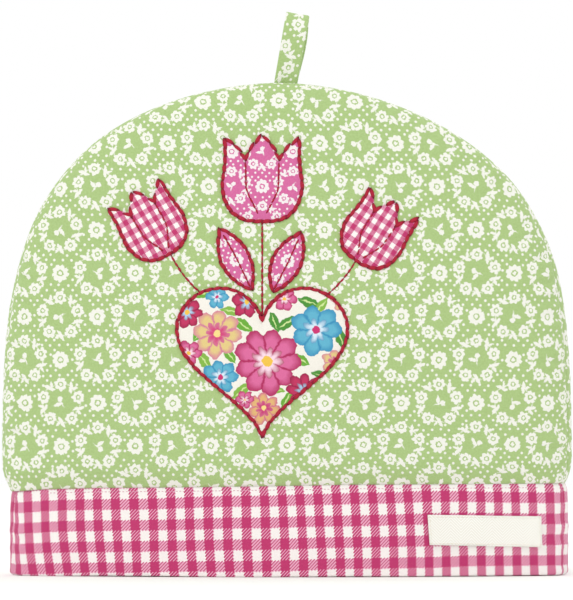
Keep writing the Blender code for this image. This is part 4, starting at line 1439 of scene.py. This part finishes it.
def thread_material(name, colour, deep, shine):
    """Stranded cotton or sewing thread: a soft satin gloss, and painted shade where the needle goes in."""
    material = bpy.data.materials.new(name)
    material.use_nodes = True
    tree = material.node_tree
    along = add(tree, "ShaderNodeAttribute", attribute_name="along", out=2)
    ends = add(tree, MATH, along, operation="ABSOLUTE")  # 0 in a stitch's middle, 0.5 at its ends
    # painted shade: each stitch takes the deep colour towards its ends, where the thread sinks into the cloth
    ends = add(tree, RAMP, ends, 0.16, 0.46, 0.0, 1.0)
    colour_with_painted_shade = add(tree, MIX, at={0: ends, 6: linear(colour), 7: linear(deep)}, **COLOURS)
    spot = add(tree, "ShaderNodeTexCoord", out=3)
    strands = add(tree, "ShaderNodeTexNoise", spot, at={"Scale": STRANDS, "Detail": 2.0})
    shade = add(tree, MATH, strands, 0.7, 0.6, operation="MULTIPLY_ADD")
    bump = add(tree, "ShaderNodeBump", at={"Height": strands, "Distance": 0.0001, "Strength": 0.8})
    shader = tree.nodes["Principled BSDF"]
    tree.links.new(add(tree, VECTOR, colour_with_painted_shade, at={3: shade}, operation="SCALE"), shader.inputs["Base Color"])
    tree.links.new(bump, shader.inputs["Normal"])
    shader.inputs["Roughness"].default_value = 0.5
    shader.inputs["Specular IOR Level"].default_value = shine
    return material


def sew(name, lines, thread, pitch, size, slant, uneven, seed):
    """Stitches along lines of (points, outward directions), in millimetres, as one piece."""
    places, ways, edges = [], [], []
    for points, away in lines:
        first = len(places)
        places += [tuple(p) for p in np.array(points) * MM]
        ways += [tuple(w) for w in away]
        edges += [(first + k, first + k + 1) for k in range(len(points) - 1)]
    mesh = bpy.data.meshes.new(name)
    mesh.from_pydata(places, edges, [])
    mesh.attributes.new("away", "FLOAT_VECTOR", "POINT").data.foreach_set("vector", np.ravel(ways))
    path = link_to_scene(f"{name}_path", mesh)
    modifier = path.modifiers.new("stitches", "NODES")
    modifier.node_group = stitches
    wanted = {
        "Pitch": pitch * MM,
        "Stitch size": [s * MM for s in size],
        "Slant": slant,
        "Unevenness": uneven,
        "Seed": seed,
        "Thread": thread,
    }
    for item in stitches.interface.items_tree:
        if item.name in wanted:
            modifier[item.identifier] = wanted[item.name]
    bpy.context.view_layer.update()
    made = bpy.data.meshes.new_from_object(path.evaluated_get(bpy.context.evaluated_depsgraph_get()))
    bpy.data.objects.remove(path)
    made.name = name
    made.attributes.remove(made.attributes["away"])
    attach(link_to_scene(name, made), "root")
    print(f"{name}: {len(made.polygons)} faces")


def on_surface(line, height, raise_by):
    """A line of (x, z) lifted onto a surface, with the outward direction at each point."""
    x, z = line.T
    step = 0.5  # mm, short beside the cloth's waves
    dx = (height(x + step, z) - height(x - step, z)) / (2 * step)
    dz = (height(x, z + step) - height(x, z - step)) / (2 * step)
    away = np.stack([-dx, -np.ones_like(dx), -dz], axis=-1)
    away /= np.linalg.norm(away, axis=-1, keepdims=True)
    points = np.stack([x, -height(x, z), z], axis=-1) + away * raise_by
    return points, away


# %% Red outlines, stems and veins
# a thread's own colour, then the deep colour of the painted shade at its stitches' ends
red_thread = thread_material("stranded_cotton_red", "#AE1D37", "#5E0C1E", 0.2)
OUTLINE_PITCH, OUTLINE_SIZE = 4.7, (7.2, 2.5, 1.9)
OUTLINE_SLANT, CORNER_SHORT = 0.15, 0.42  # radians, and the share of a stitch left free at a corner
STEM_PITCH, STEM_SIZE = 3.5, (4.2, 1.3, 1.1)
STEM_OFF, VEIN_OFF = 0.2, 0.1  # how high these thinner stitches lie on their cloth
SHARP = radians(35)  # an outline that turns more than this at a point has a corner there


def between_corners(outline, short):
    """A closed outline as open lines between its sharp corners, each ending a little short of them."""
    steps = np.roll(outline, -1, 0) - outline
    way = np.arctan2(steps[:, 1], steps[:, 0])
    turn = np.abs((way - np.roll(way, 1) + pi) % (2 * pi) - pi)
    corners = np.flatnonzero(turn > SHARP)
    lines = []
    for start, end in zip(corners, [*corners[1:], corners[0] + len(outline)]):
        line = outline[np.arange(start, end + 1) % len(outline)]
        run = np.concatenate([[0], np.cumsum(np.hypot(*np.diff(line, axis=0).T))])
        wanted = np.linspace(short, run[-1] - short, int(run[-1]))
        lines.append(np.stack([np.interp(wanted, run, line[:, k]) for k in (0, 1)], axis=-1))
    return lines


short = OUTLINE_SIZE[0] * CORNER_SHORT
sides = [line for outline in outlines.values() for line in between_corners(outline, short)]
edges_sewn = [on_surface(line, front_surface, PATCH_CLOTH) for line in sides]
sew("posy_outline_stitches", edges_sewn, red_thread, OUTLINE_PITCH, OUTLINE_SIZE, OUTLINE_SLANT, 0.12, 3)
stems_sewn = [on_surface(line, front_surface, STEM_OFF) for line in stems]
stems_sewn += [on_surface(line, front_surface, PATCH_CLOTH + VEIN_OFF) for line in veins]
sew("posy_stem_stitches", stems_sewn, red_thread, STEM_PITCH, STEM_SIZE, 0.0, 0.15, 4)

# %% [markdown]
# ## Plain sewing
#
# A line of machine stitching holds the band's seam allowance down, just under the seam, and another
# runs round the tape, close to its edges. The threads match the cloth, so they hardly show from afar.

# %% Plain sewing
# each thread's own colour, then the deep colour of the painted shade at its stitches' ends
pink_thread = thread_material("sewing_thread_pink", "#E3AFC0", "#B97A92", 0.3)
cream_thread = thread_material("sewing_thread_cream", "#F2ECDD", "#CFC5AE", 0.3)
TOPSTITCH_LEVEL = BAND_SEAM - 2.2
LABEL_SEAM = 1.2  # from the tape's edge in to its stitches
MACHINE_THREAD = (0.5, 0.45)  # width and height of a machine stitch


def band_line(side):
    """The topstitching of one band and its outward directions, over the face between the padded edges."""
    x = np.linspace(-HALF_WIDTH + EDGE_REACH, HALF_WIDTH - EDGE_REACH, 240)
    z = np.full_like(x, TOPSTITCH_LEVEL)
    deep = face_depth(x, z) + broad_relief(x, z, side)
    points = np.stack([x + lean(z), side * deep, settled(x, z)], axis=-1)
    slope = np.gradient(deep, x)
    away = np.stack([-slope, np.full_like(x, side), np.zeros_like(x)], axis=-1)
    return points, away / np.linalg.norm(away, axis=-1, keepdims=True)


band_lines = [band_line(side) for side in (-1, 1)]
sew("band_topstitching", band_lines, pink_thread, 2.1, (1.3, *MACHINE_THREAD), 0.0, 0.08, 5)
label_middle = LABEL_CORNERS.mean(0)
seam_corners = label_middle + (LABEL_CORNERS - label_middle) * (1 - 2 * LABEL_SEAM / label_size)
label_lines = [on_surface(line, label_height, LABEL_CLOTH) for line in four_sides(seam_corners)]
sew("label_stitches", label_lines, cream_thread, 2.4, (1.6, *MACHINE_THREAD), 0.0, 0.08, 6)
